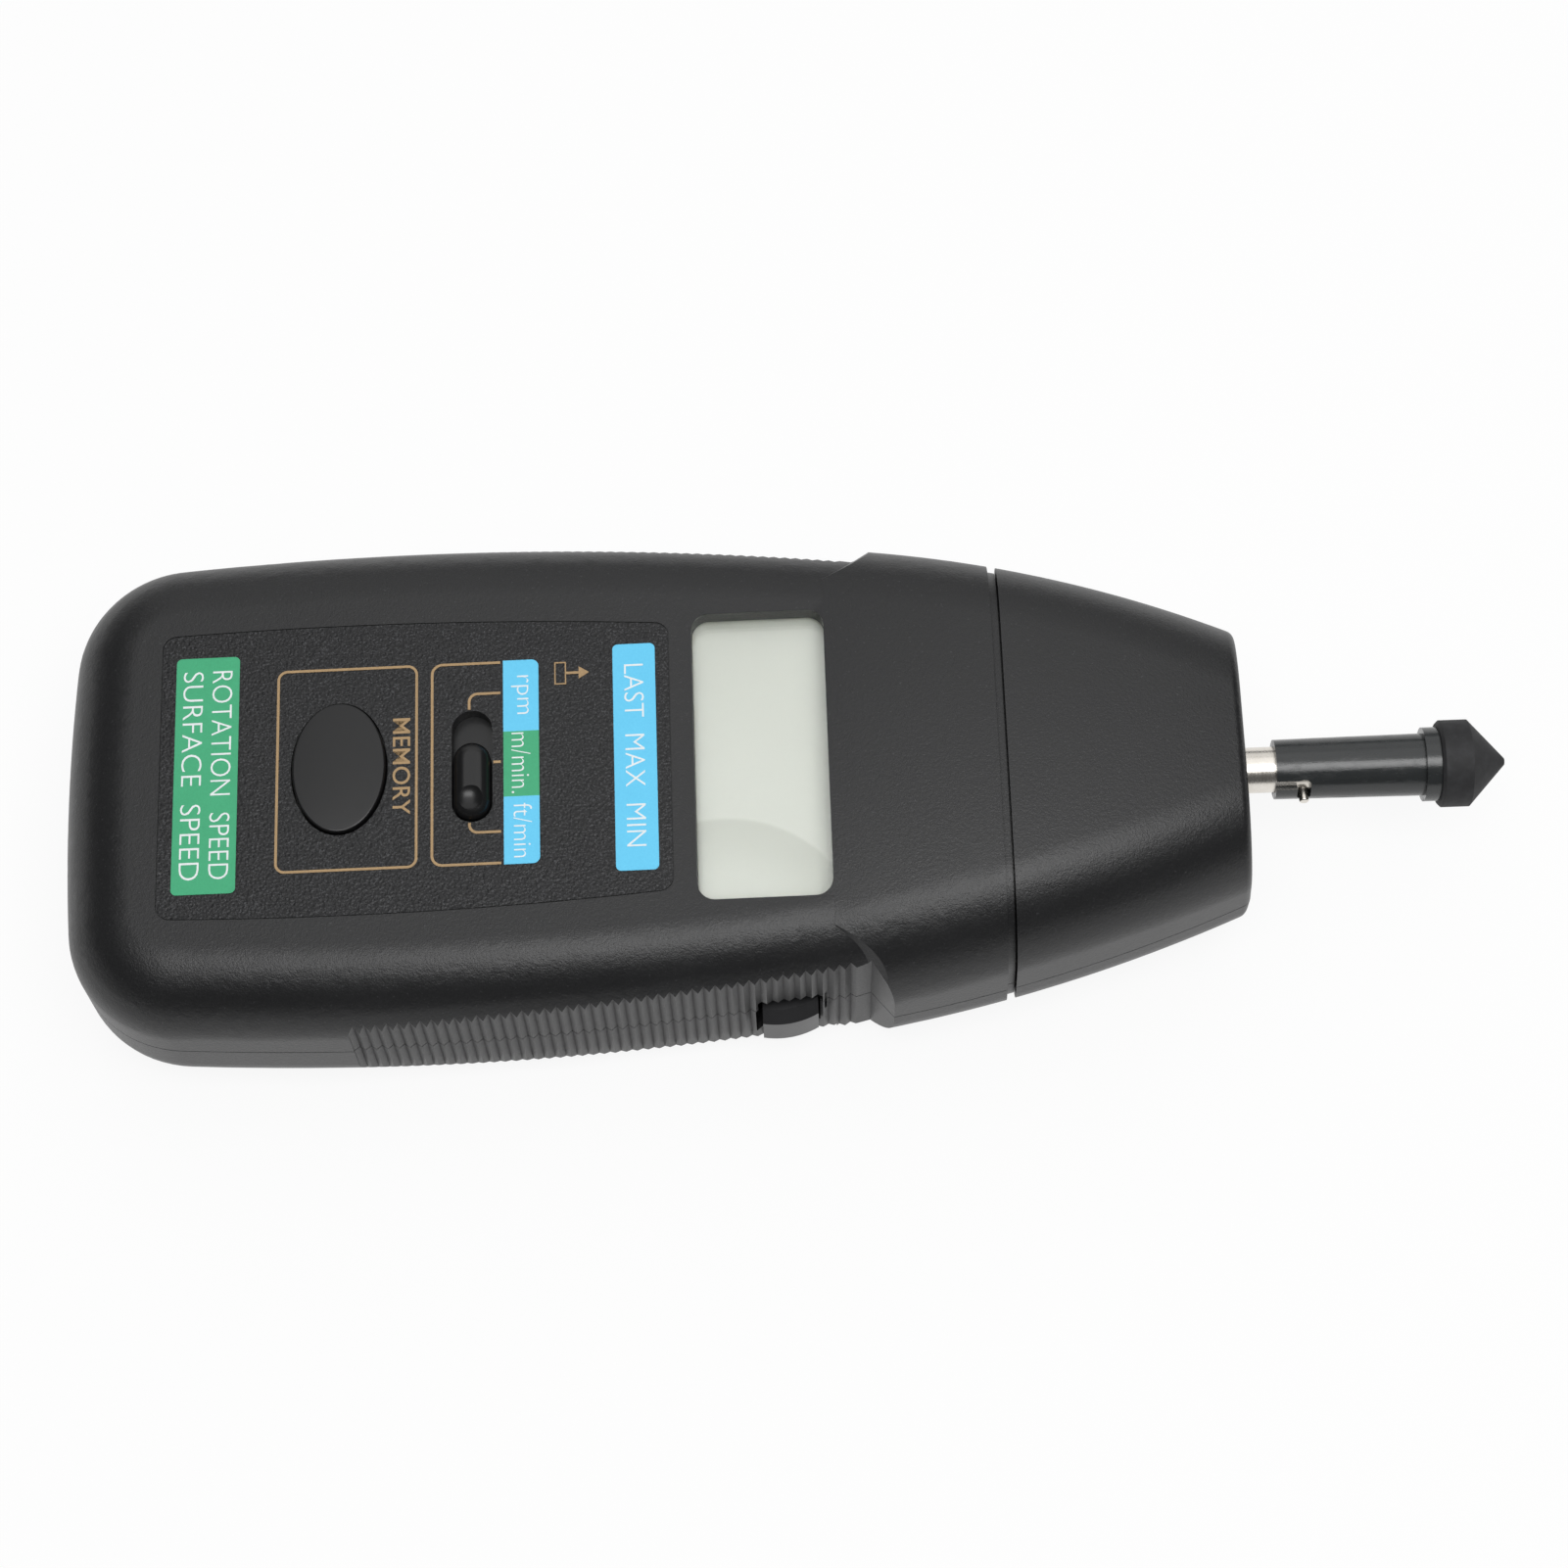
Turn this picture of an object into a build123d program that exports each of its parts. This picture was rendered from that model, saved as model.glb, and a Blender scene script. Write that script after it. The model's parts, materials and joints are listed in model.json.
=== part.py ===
from build123d import *
from math import atan, cos, degrees, radians, sin, sqrt
import os

os.makedirs("parts", exist_ok=True)

# Millimetres. X runs along the instrument with the drive shaft toward +X, Y across it,
# Z up, the base on Z = 0 and the origin under the middle of the overall length.
# Stations are distances along X from a datum plane just behind the tail.

# Lengths in order from the datum behind the tail to the tip of the cone
tail_end = 1.1
handle_length = 111.5
shoulder_length = 24.1
groove_width = 1.3
head_length = 35.0
shaft_exposed = 4.45
adapter_tube = 21.65
adapter_flange = 2.2
tip_cylinder = 4.4
tip_cone = 5.4

# Heights and the slope of the face
tail_height = 31.4
face_slope = 0.025
shaft_height = 19.5
parting_level = 16.3

# Handle plan and roundings
handle_half = 37.2
handle_widest = 50.8
handle_side_radius = 503.0
tail_bulge_radius = 300.0
tail_corner_radius = 17.0
face_edge_radius = 11.0
base_edge_radius = 10.5

# Shoulder and head
shoulder_half = 34.8
head_mid_half = 27.7
head_mid_station = 149.0
nose_half = 19.4
crown_height = 37.0
crown_station = 139.0
crown_along = 240.0
crown_across = 230.0
front_face_radius = 13.5
front_base_radius = 13.8
nose_edge_radius = 1.6
step_foot_radius = 1.4
step_foot_half = 22.5
blend_half = 26.2
blend_lean = (-0.40, 0.80, 0.44)
nose_draft = 0.07

# Shell
wall = 2.2
nose_wall = 2.6
floor_rise = 0.3
parting_gap = 0.2
lip_wall = 1.2
lip_rise = 2.0
fit_gap = 0.1
neck_inset = 0.8
neck_gap = 0.25
spigot_inset = 2.35
spigot_wall = 1.6
spigot_reach = 4.0
slide_gap = 0.25

# Ribbed grip on both flanks
grip_half = 36.7
grip_apex = 34.9
grip_radius = 574.0
rib_start = 42.3
rib_pitch = 1.6
rib_depth = 0.6
rib_wall = 2.5
ramp_foot = 116.4
ramp_run = 3.2
ramp_rise = 3.9
rib_land = 1.4

# Overlay on the face
label_start = 16.0
label_end = 89.0
label_half_tail = 21.6
label_half_mid = 22.1
label_half_head = 20.4
label_corner = 2.0
label_thickness = 0.25
label_gap = 0.15
print_thickness = 0.08
line_width = 0.45
gold_line = 0.38
name_start = 18.0
name_width = 9.15
name_half = 18.17
name_corner = 0.8
memory_frame_start = 32.63
memory_frame_width = 20.32
memory_frame_half = 15.6
frame_corner = 1.5
units_frame_start = 54.8
units_bar_start = 65.2
units_bar_width = 5.1
units_bar_half = 15.66
units_bar_corner = 1.0
units_split_upper = 4.6
units_split_lower = -5.4
leg_reach = 10.65
leg_corner = 1.2
type_bar_start = 81.0
type_bar_width = 6.1
type_bar_half = 17.4
icon_start = 72.6
icon_width = 1.7
icon_y = 13.3
icon_height = 3.5
arrow_length = 3.3
arrow_head = 1.5
arrow_half = 0.95

# Memory button and its switch
memory_station = 41.7
memory_length = 19.8
memory_width = 13.4
memory_gap = 0.25
memory_proud = 0.7
memory_dome = 0.6
memory_travel = 0.8
button_flange = 1.2
flange_thickness = 1.0
stem_radius = 3.0
memory_switch_side = 12.0
memory_switch_height = 3.6
memory_plunger_radius = 2.0

# Mode slide knob and its switch
slot_station = 60.7
slot_width = 5.8
slot_top = 8.1
knob_top = 2.95
knob_length = 11.7
knob_width = 5.3
knob_proud = 1.9
knob_travel = 4.6
knob_flange_margin = 1.6
shutter_margin = 0.8
dish_radius = 3.0
dish_depth = 0.75
mode_switch_width = 9.0
mode_switch_length = 23.0
mode_switch_height = 3.8
lever_side = 2.2

# Display
display_start = 92.4
display_width = 19.1
display_half = 21.9
display_offset = -0.35
display_corner = 2.5
display_tier = 0.25
lens_depth = 2.75
lens_thickness = 1.0
lens_margin = 1.3
lcd_thickness = 2.8
lcd_margin = 2.0
lcd_frame_wall = 1.5
zebra_width = 2.0
zebra_half = 19.0

# Main board
board_depth = 9.4
board_thickness = 1.6
board_start = 28.0
board_end = 118.0
board_half = 24.0
small_part_length = 2.0
small_part_width = 1.0
small_part_pitch = 4.0
small_part_height = 0.9
capacitor_radius = 3.0
capacitor_height = 6.0
board_screw_stations = (34.0, 84.5)
board_screw_half = 20.0
chip_station = 76.0
chip_side = 12.0
chip_height = 1.6
chip_pins = 11

# Measure button on the flank and its switch
trigger_start = 100.8
trigger_width = 8.0
trigger_base = 8.1
trigger_top = 16.2
trigger_out = 34.6
trigger_bow = 11.5
trigger_crest = 104.0
trigger_chamfer = 1.7
trigger_gap_tail = 1.0
trigger_gap_head = 0.3
trigger_travel = 1.1
scoop_height = 3.0
scoop_depth = 1.5
trigger_board_height = 8.0
trigger_switch_height = 5.0
trigger_switch_depth = 6.0
trigger_plunger_radius = 1.2
slit_station = 109.9
slit_width = 0.35
slit_height = 7.0
slit_depth = 0.9

# Cells and their compartment
cell_diameter = 14.5
cell_length = 50.5
cell_pitch = 14.9
cell_nub_radius = 2.75
cell_nub_length = 1.0
cell_start = 13.0
cell_height = 10.0
contact_space = 2.6
plate_thickness = 0.4
plate_side = 11.0
spring_wire = 0.7
spring_radius = 3.6
bay_wall = 1.2
bay_half = 30.2
bay_roof = 17.7
door_half = 27.5
door_tongue = 1.4
door_thickness = 1.9
door_recess = 0.3
door_overlap = 2.0
rail_height = 1.5
grip_line_count = 5

# Drive shaft, bearings and encoder
shaft_diameter = 6.7
journal_diameter = 6.0
shaft_rear = 140.0
shaft_front = 190.0
bearing_outer = 15.0
bearing_width = 5.0
ball_diameter = 2.3
ball_count = 9
race_gap = 0.04
block_start = 149.7
block_length = 19.0
block_half = 10.0
block_half_height = 9.5
ear_length = 6.0
ear_reach = 5.8
ear_thickness = 3.0
disc_radius = 11.0
disc_thickness = 0.5
disc_slots = 20
disc_slot_length = 2.0
disc_slot_width = 1.0
hub_radius = 5.0
hub_length = 3.0
ring_radius = 4.6
ring_thickness = 0.8
sensor_board_height = 5.0
sensor_board_half = 12.0
sensor_slot = 2.4

# Adapter, its bayonet and the rubber tip
adapter_rear_diameter = 8.7
adapter_front_diameter = 9.1
adapter_gap = 0.05
flange_diameter = 10.8
pin_diameter = 1.4
pin_station = 180.4
pin_angle = 87.0
pin_reach = 5.3
bayonet_turn = 31.0
bayonet_width = 1.9
bayonet_entry = 1.5
stub_diameter = 6.0
stub_length = 6.0
tip_diameter = 12.7
tip_chamfer = 0.4
tip_end_radius = 0.5

# Screws
case_screw_radius = 1.3
case_screw_head = 2.5
boss_radius = 3.4
case_screw_tail = (76.0, 25.0)
case_screw_front = (129.0, 24.0)
head_screw_rear = (146.5, 20.6)
head_screw_front = (164.0, 15.6)
screw_gap = 0.15
screw_seat = 4.0
small_screw_radius = 0.9
small_screw_head = 1.8
small_head_height = 1.2
post_radius = 2.4

# Values that follow from the sizes above
groove_station = handle_length + shoulder_length
head_station = groove_station + groove_width
nose_station = head_station + head_length
adapter_station = nose_station + shaft_exposed
flange_station = adapter_station + adapter_tube
tip_station = flange_station + adapter_flange
overall = tip_station + tip_cylinder + tip_cone - tail_end
tail_x = -overall / 2 - tail_end
face_tilt = atan(face_slope)
tall = 2 * crown_height
board_under = board_depth + board_thickness
bay_floor = door_recess + door_thickness + fit_gap + rail_height
cell_radius = cell_diameter / 2
bay_start = cell_start - contact_space - plate_thickness
bay_end = cell_start + cell_length + contact_space + plate_thickness
shaft_radius = shaft_diameter / 2
journal_radius = journal_diameter / 2
outer_race_radius = bearing_outer / 2
front_bearing_start = block_start + block_length - bearing_width
race_mid = (outer_race_radius + journal_radius) / 2
race_step = (outer_race_radius - journal_radius) / 4

face = Plane(
    origin=(tail_x, 0, tail_height),
    x_dir=(cos(face_tilt), 0, sin(face_tilt)),
    z_dir=(-sin(face_tilt), 0, cos(face_tilt)),
)
parting = Plane(origin=(tail_x, 0, parting_level), x_dir=(1, 0, 0), z_dir=(0, 0, 1))


def across(station):
    """Plane square to the face, its normal toward the shaft."""
    return Plane(
        origin=face.from_local_coords((station, 0, 0)),
        x_dir=(0, 1, 0),
        z_dir=face.x_dir,
    )


def upright(station):
    """Plane square to the shaft, its normal toward the shaft's end."""
    return Plane(origin=(tail_x + station, 0, shaft_height), x_dir=(0, 1, 0), z_dir=(1, 0, 0))


def arc_half(half, apex, radius, station):
    """Half width at a station of a side arc with its widest place at the apex."""
    return half - radius + sqrt(radius**2 - (station - apex) ** 2)


def circle_through(first, second, third):
    """Centre and radius of the circle through three points."""
    (ax, ay), (bx, by), (cx, cy) = first, second, third
    d = 2 * (ax * (by - cy) + bx * (cy - ay) + cx * (ay - by))
    a, b, c = ax**2 + ay**2, bx**2 + by**2, cx**2 + cy**2
    x = (a * (by - cy) + b * (cy - ay) + c * (ay - by)) / d
    y = (a * (cx - bx) + b * (ax - cx) + c * (bx - ax)) / d
    return x, y, sqrt((ax - x) ** 2 + (ay - y) ** 2)


front_x, front_y, front_radius = circle_through(
    (ramp_foot + ramp_run, shoulder_half),
    (head_mid_station, head_mid_half),
    (nose_station, nose_half),
)


def handle_form(half, apex, radius, inset, end, rise=0):
    """Handle from the tail to a station, every face moved in by the inset, the base by more."""
    with BuildPart() as form:
        with BuildSketch(Plane.XY.offset(inset + rise)) as plan:
            with Locations((tail_x + tail_end, 0)):
                Rectangle(end - tail_end, 4 * half, align=(Align.MIN, Align.CENTER))
            for side in (-1, 1):
                with Locations((tail_x + apex, side * (half - radius))):
                    Circle(radius - inset, mode=Mode.INTERSECT)
            with Locations((tail_x + tail_end + tail_bulge_radius, 0)):
                Circle(tail_bulge_radius - inset, mode=Mode.INTERSECT)
            fillet(plan.vertices().sort_by(Axis.X)[:2], tail_corner_radius - inset)
        extrude(amount=tall)
        split(bisect_by=face.offset(-inset), keep=Keep.BOTTOM)
        top_edges = form.faces().sort_by(Axis.Z)[-1].edges().sort_by(Axis.X)[:-1]
        fillet(top_edges, face_edge_radius - inset)
        base_edges = form.faces().sort_by(Axis.Z)[0].edges().sort_by(Axis.X)[:-1]
        fillet(base_edges, base_edge_radius - inset - rise)
    return form.part


def crown_form(inset):
    """Space under the crown of the shoulder and head, a surface curved both ways."""
    with BuildPart() as crown:
        with BuildSketch(Plane(origin=(tail_x + crown_station, 0, 0), x_dir=(0, 1, 0), z_dir=(1, 0, 0))):
            with Locations((0, crown_height - crown_across)):
                Circle(crown_across - inset)
            with Locations((0, crown_height - crown_along / 2)):
                Rectangle(4 * shoulder_half, crown_along, mode=Mode.INTERSECT)
        revolve(axis=Axis((tail_x + crown_station, 0, crown_height - crown_along), (0, 1, 0)))
    return crown.part


def front_form(inset, start, end):
    """Shoulder and head between two stations, every long face moved in by the inset."""
    with BuildPart() as form:
        with BuildSketch(Plane.XY.offset(inset)):
            with Locations((tail_x + start, 0)):
                Rectangle(end - start, 4 * shoulder_half, align=(Align.MIN, Align.CENTER))
            for side in (-1, 1):
                with Locations((tail_x + front_x, side * front_y)):
                    Circle(front_radius - inset, mode=Mode.INTERSECT)
        extrude(amount=tall)
        add(crown_form(inset), mode=Mode.INTERSECT)
        crown_edges = form.faces().sort_by(Axis.Z)[-1].edges()
        crown_edges = crown_edges.filter_by(lambda e: abs(e.center().Y) > inset + 1)
        fillet(crown_edges, front_face_radius - inset)
        base_edges = form.faces().sort_by(Axis.Z)[0].edges()
        base_edges = base_edges.filter_by(lambda e: abs(e.center().Y) > inset + 1)
        fillet(base_edges, front_base_radius - inset)
    return form.part


def side_points(first, last):
    """Zigzag of the ribs, the land after them and the ramp, on the +Y flank."""
    count = int((ramp_foot - rib_land - rib_start) / rib_pitch)
    points = []
    for step in range(2 * count + 1):
        station = rib_start + step * rib_pitch / 2
        swing = rib_depth / 2 if step % 2 else -rib_depth / 2
        points.append((station, arc_half(grip_half, grip_apex, grip_radius, station) - swing))
    foot = arc_half(grip_half, grip_apex, grip_radius, ramp_foot)
    points.append((ramp_foot, foot))
    points.append((ramp_foot + 2 * ramp_run, foot + 2 * ramp_rise))
    return [(tail_x + s, y) for s, y in [(rib_start, last)] + points + [(ramp_foot + 2 * ramp_run, last)]]


grip_points = side_points(rib_start, 2 * shoulder_half)
body_handle = handle_form(handle_half, handle_widest, handle_side_radius, 0, ramp_foot + ramp_run / 2)

# Shoulder, its two corners toward the tail cut back to run out on the handle's rounding
with BuildPart() as body_front:
    add(front_form(0, handle_length, head_station))
    for side in (-1, 1):
        corner = face.from_local_coords((handle_length, side * blend_half, 0))
        along, outward, upward = blend_lean
        split(bisect_by=Plane(origin=corner, z_dir=(along, side * outward, upward)), keep=Keep.BOTTOM)

# Handle and shoulder as one shell, cut along the parting plane further on
with BuildPart() as body_outer:
    add(body_handle)
    add(body_front.part)
    with BuildSketch(Plane.XY.offset(-wall)) as grip_plan:
        with BuildLine():
            Polyline(grip_points, close=True)
        make_face()
        mirror(about=Plane.XZ)
    extrude(amount=tall + wall, mode=Mode.SUBTRACT)
    split(bisect_by=across(groove_station), keep=Keep.BOTTOM)

# Concave foot where the face runs up into the step of the shoulder
with BuildPart() as step_foot:
    with BuildSketch(Plane.XZ.offset(-step_foot_half)):
        with BuildLine():
            step_low = face.from_local_coords((handle_length - step_foot_radius, 0, 0))
            step_top = face.from_local_coords((handle_length, 0, step_foot_radius))
            step_end = face.from_local_coords((handle_length + wall, 0, step_foot_radius))
            step_back = face.from_local_coords((handle_length + wall, 0, -wall))
            step_base = face.from_local_coords((handle_length - step_foot_radius, 0, -wall))
            RadiusArc((step_low.X, step_low.Z), (step_top.X, step_top.Z), step_foot_radius)
            Polyline(
                (step_top.X, step_top.Z),
                (step_end.X, step_end.Z),
                (step_back.X, step_back.Z),
                (step_base.X, step_base.Z),
                (step_low.X, step_low.Z),
            )
        make_face()
    extrude(amount=2 * step_foot_half)
    add(crown_form(0), mode=Mode.INTERSECT)

neck_form = front_form(neck_inset, groove_station - 2 * wall, head_station + wall)
spigot_form = front_form(spigot_inset, groove_station - 2 * wall, head_station + 2 * spigot_reach)
bore_form = front_form(
    spigot_inset + spigot_wall, groove_station - 3 * wall, head_station + 3 * spigot_reach
)

with BuildPart() as neck:
    add(neck_form)
    split(bisect_by=across(head_station - neck_gap), keep=Keep.BOTTOM)
    add(spigot_form)
    split(bisect_by=across(head_station + spigot_reach), keep=Keep.BOTTOM)
    split(bisect_by=across(groove_station - wall), keep=Keep.TOP)
    add(bore_form, mode=Mode.SUBTRACT)


def cavity_form(extra):
    """Hollow of the handle and shoulder, its long faces moved in by a further amount."""
    handle_hollow = handle_form(
        grip_half - rib_wall + wall,
        grip_apex,
        grip_radius,
        wall + extra,
        ramp_foot + 2 * ramp_run,
        floor_rise,
    )
    shoulder_hollow = front_form(
        wall + extra, ramp_foot + ramp_run + wall, groove_station + wall
    )
    with BuildPart() as hollow:
        add(handle_hollow)
        add(shoulder_hollow)
        split(bisect_by=across(groove_station - wall), keep=Keep.BOTTOM)
    return hollow.part


body_hollow = cavity_form(0)
lip_outside = cavity_form(fit_gap)
lip_inside = cavity_form(fit_gap + lip_wall)

case_screw_places = [
    (tail_x + station, side * half)
    for station, half in (case_screw_tail, case_screw_front)
    for side in (-1, 1)
]
head_screw_places = [
    (tail_x + station, side * half)
    for station, half in (head_screw_rear, head_screw_front)
    for side in (-1, 1)
]
board_post_places = [(u, side * board_screw_half) for u in board_screw_stations for side in (-1, 1)]

with BuildPart() as case_bosses:
    with Locations(*[(x, y, 0) for x, y in case_screw_places]):
        Cylinder(boss_radius, tall, align=(Align.CENTER, Align.CENTER, Align.MIN))
    add(cavity_form(-wall / 2), mode=Mode.INTERSECT)

knob_centre = knob_top - knob_length / 2
slot_bottom = knob_top - knob_length - slide_gap
slot_length = slot_top - slot_bottom
slot_centre = (slot_top + slot_bottom) / 2
trigger_station = trigger_start + trigger_width / 2
lens_start = display_start + 2 * display_tier - lens_margin
lens_length = display_width - 2 * display_tier + 2 * lens_margin - display_tier
lens_half = display_half - 3 * display_tier + lens_margin
display_mid = display_start + display_width / 2
lens_mid = lens_start + lens_length / 2


def label_outline(grow):
    """Bowed outline of the face overlay, grown by a clearance."""
    with BuildSketch(Plane.XY) as outline:
        with BuildLine():
            start, end = label_start - grow, label_end + grow
            middle = (start + end) / 2
            ThreePointArc(
                (start, label_half_tail + grow),
                (middle, label_half_mid + grow),
                (end, label_half_head + grow),
            )
            Line((end, label_half_head + grow), (end, -label_half_head - grow))
            ThreePointArc(
                (end, -label_half_head - grow),
                (middle, -label_half_mid - grow),
                (start, -label_half_tail - grow),
            )
            Line((start, -label_half_tail - grow), (start, label_half_tail + grow))
        make_face()
        fillet(outline.vertices(), label_corner + grow)
    return outline.sketch


label_recess = label_outline(label_gap)
label_sheet = label_outline(0)

# front_cover: face half of the handle and shoulder
with BuildPart() as front_cover:
    add(body_outer.part)
    add(step_foot.part)
    add(body_hollow, mode=Mode.SUBTRACT)
    add(neck.part)
    add(case_bosses.part)
    split(bisect_by=parting.offset(parting_gap / 2), keep=Keep.TOP)
    with BuildSketch(face.offset(-board_depth)):
        with Locations(*board_post_places):
            Circle(post_radius)
    extrude(amount=board_depth - wall / 2)
    with BuildSketch(face.offset(-lens_depth)):
        with Locations((lens_mid, display_offset)):
            Rectangle(lens_length, 2 * lens_half)
    extrude(amount=lens_depth - wall / 2)
    with BuildSketch(face):
        add(label_recess)
    extrude(amount=-label_thickness, mode=Mode.SUBTRACT)
    for tier in range(3):
        with BuildSketch(face.offset(-tier * lens_depth / 3)):
            with Locations((display_mid + tier * display_tier / 2, display_offset)):
                RectangleRounded(
                    display_width - tier * display_tier,
                    2 * (display_half - tier * display_tier),
                    display_corner - tier * display_tier,
                )
        extrude(amount=-lens_depth, mode=Mode.SUBTRACT)
    with BuildSketch(face):
        with Locations((display_mid, display_offset)):
            RectangleRounded(display_width, 2 * display_half, display_corner)
    extrude(amount=crown_height, mode=Mode.SUBTRACT)
    with BuildSketch(face.offset(wall)):
        with Locations((memory_station, 0)):
            Ellipse(memory_width / 2 + memory_gap, memory_length / 2 + memory_gap)
        with Locations((slot_station, slot_centre)):
            SlotOverall(slot_length, slot_width, rotation=90)
    extrude(amount=-3 * wall, mode=Mode.SUBTRACT)
    with BuildSketch(across(trigger_start - trigger_gap_tail)):
        with BuildLine():
            rim = arc_half(grip_half, grip_apex, grip_radius, trigger_station)
            scoop_low = parting_level - tail_height - face_slope * trigger_station
            Polyline(
                (-rim - 2 * wall, scoop_low - wall),
                (-rim + scoop_depth, scoop_low - wall),
                (-rim + scoop_depth, scoop_low + scoop_height - scoop_depth),
                (-rim - wall, scoop_low + scoop_height + wall / 2),
                (-rim - 2 * wall, scoop_low + scoop_height + wall / 2),
                close=True,
            )
        make_face()
    extrude(amount=trigger_width + trigger_gap_tail + trigger_gap_head, mode=Mode.SUBTRACT)
    with BuildSketch(parting.offset(-slit_height / 2)):
        with Locations((slit_station, -arc_half(grip_half, grip_apex, grip_radius, slit_station))):
            Rectangle(slit_width, 2 * slit_depth)
    extrude(amount=slit_height, mode=Mode.SUBTRACT)
    with BuildSketch(Plane.XY):
        with Locations(*case_screw_places):
            Circle(case_screw_radius)
    extrude(amount=crown_height - 2 * wall, mode=Mode.SUBTRACT)
    with BuildSketch(face.offset(-board_depth)):
        with Locations(*board_post_places):
            Circle(small_screw_radius)
    extrude(amount=board_depth - 2 * wall, mode=Mode.SUBTRACT)
front_cover.part.label = "front_cover"
export_step(front_cover.part, "parts/front_cover.step")

# Cell bay: floor block with the door's rails, walls and roof
door_end = bay_end + door_overlap
bay_outside = bay_half + bay_wall
bay_box_start = bay_start - bay_wall
bay_box_length = bay_end + bay_wall - bay_box_start
floor_length = door_end + slide_gap + wall
lip_top = parting.offset(lip_rise)
rear_top = parting.offset(-parting_gap / 2)

with BuildPart() as bay_lower:
    with BuildSketch(Plane.XY):
        with Locations((tail_x, 0)):
            Rectangle(floor_length, 2 * bay_outside, align=(Align.MIN, Align.CENTER))
    extrude(amount=bay_floor)
    with BuildSketch(Plane.XY):
        with Locations((tail_x + bay_box_start, 0)):
            Rectangle(bay_box_length, 2 * bay_outside, align=(Align.MIN, Align.CENTER))
    extrude(amount=bay_roof + bay_wall)
    split(bisect_by=rear_top, keep=Keep.BOTTOM)
    add(cavity_form(-wall / 2), mode=Mode.INTERSECT)

with BuildPart() as bay_upper:
    with BuildSketch(Plane.XY.offset(bay_floor)):
        with Locations((tail_x + bay_box_start, 0)):
            Rectangle(bay_box_length, 2 * bay_outside, align=(Align.MIN, Align.CENTER))
    extrude(amount=bay_roof + bay_wall - bay_floor)
    add(lip_inside, mode=Mode.INTERSECT)

with BuildPart() as bay_inside:
    with BuildSketch(Plane.XY.offset(bay_floor)):
        with Locations((tail_x + bay_start, 0)):
            Rectangle(bay_end - bay_start, 2 * bay_half, align=(Align.MIN, Align.CENTER))
    extrude(amount=bay_roof - bay_floor)
    add(cavity_form(-wall / 3), mode=Mode.INTERSECT)
    with BuildSketch(Plane.XY.offset(-wall)):
        with Locations((tail_x + bay_start, 0)):
            Rectangle(bay_end - bay_start, 2 * door_half, align=(Align.MIN, Align.CENTER))
    extrude(amount=bay_floor + 2 * wall)

with BuildPart() as lip:
    add(lip_outside)
    split(bisect_by=lip_top, keep=Keep.BOTTOM)
    split(bisect_by=parting.offset(-lip_rise), keep=Keep.TOP)
    add(lip_inside, mode=Mode.SUBTRACT)

with BuildPart() as lip_root:
    add(cavity_form(-wall / 2))
    split(bisect_by=rear_top, keep=Keep.BOTTOM)
    split(bisect_by=parting.offset(-lip_rise), keep=Keep.TOP)
    add(lip_inside, mode=Mode.SUBTRACT)

trigger_end = trigger_start + trigger_width
trigger_hole_start = trigger_start - trigger_gap_tail
trigger_hole_length = trigger_width + trigger_gap_tail + trigger_gap_head
flange_start = trigger_hole_start - button_flange
flange_length = trigger_hole_length + 2 * button_flange
flange_face = -(
    arc_half(grip_half, grip_apex, grip_radius, flange_start + flange_length) - rib_wall - slide_gap
)
flange_back = flange_face + flange_thickness
flange_base = base_edge_radius - button_flange
trigger_board_start = flange_start - 2 * post_radius
trigger_board_length = flange_length + 4 * post_radius
trigger_board_edge = flange_back + trigger_travel + slide_gap
trigger_board_width = 5 * post_radius
trigger_post_y = trigger_board_edge + trigger_board_width - 1.5 * post_radius
trigger_post_places = [
    (tail_x + trigger_board_start + 1.5 * post_radius, trigger_post_y),
    (tail_x + trigger_board_start + trigger_board_length - 1.5 * post_radius, trigger_post_y),
]

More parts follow.
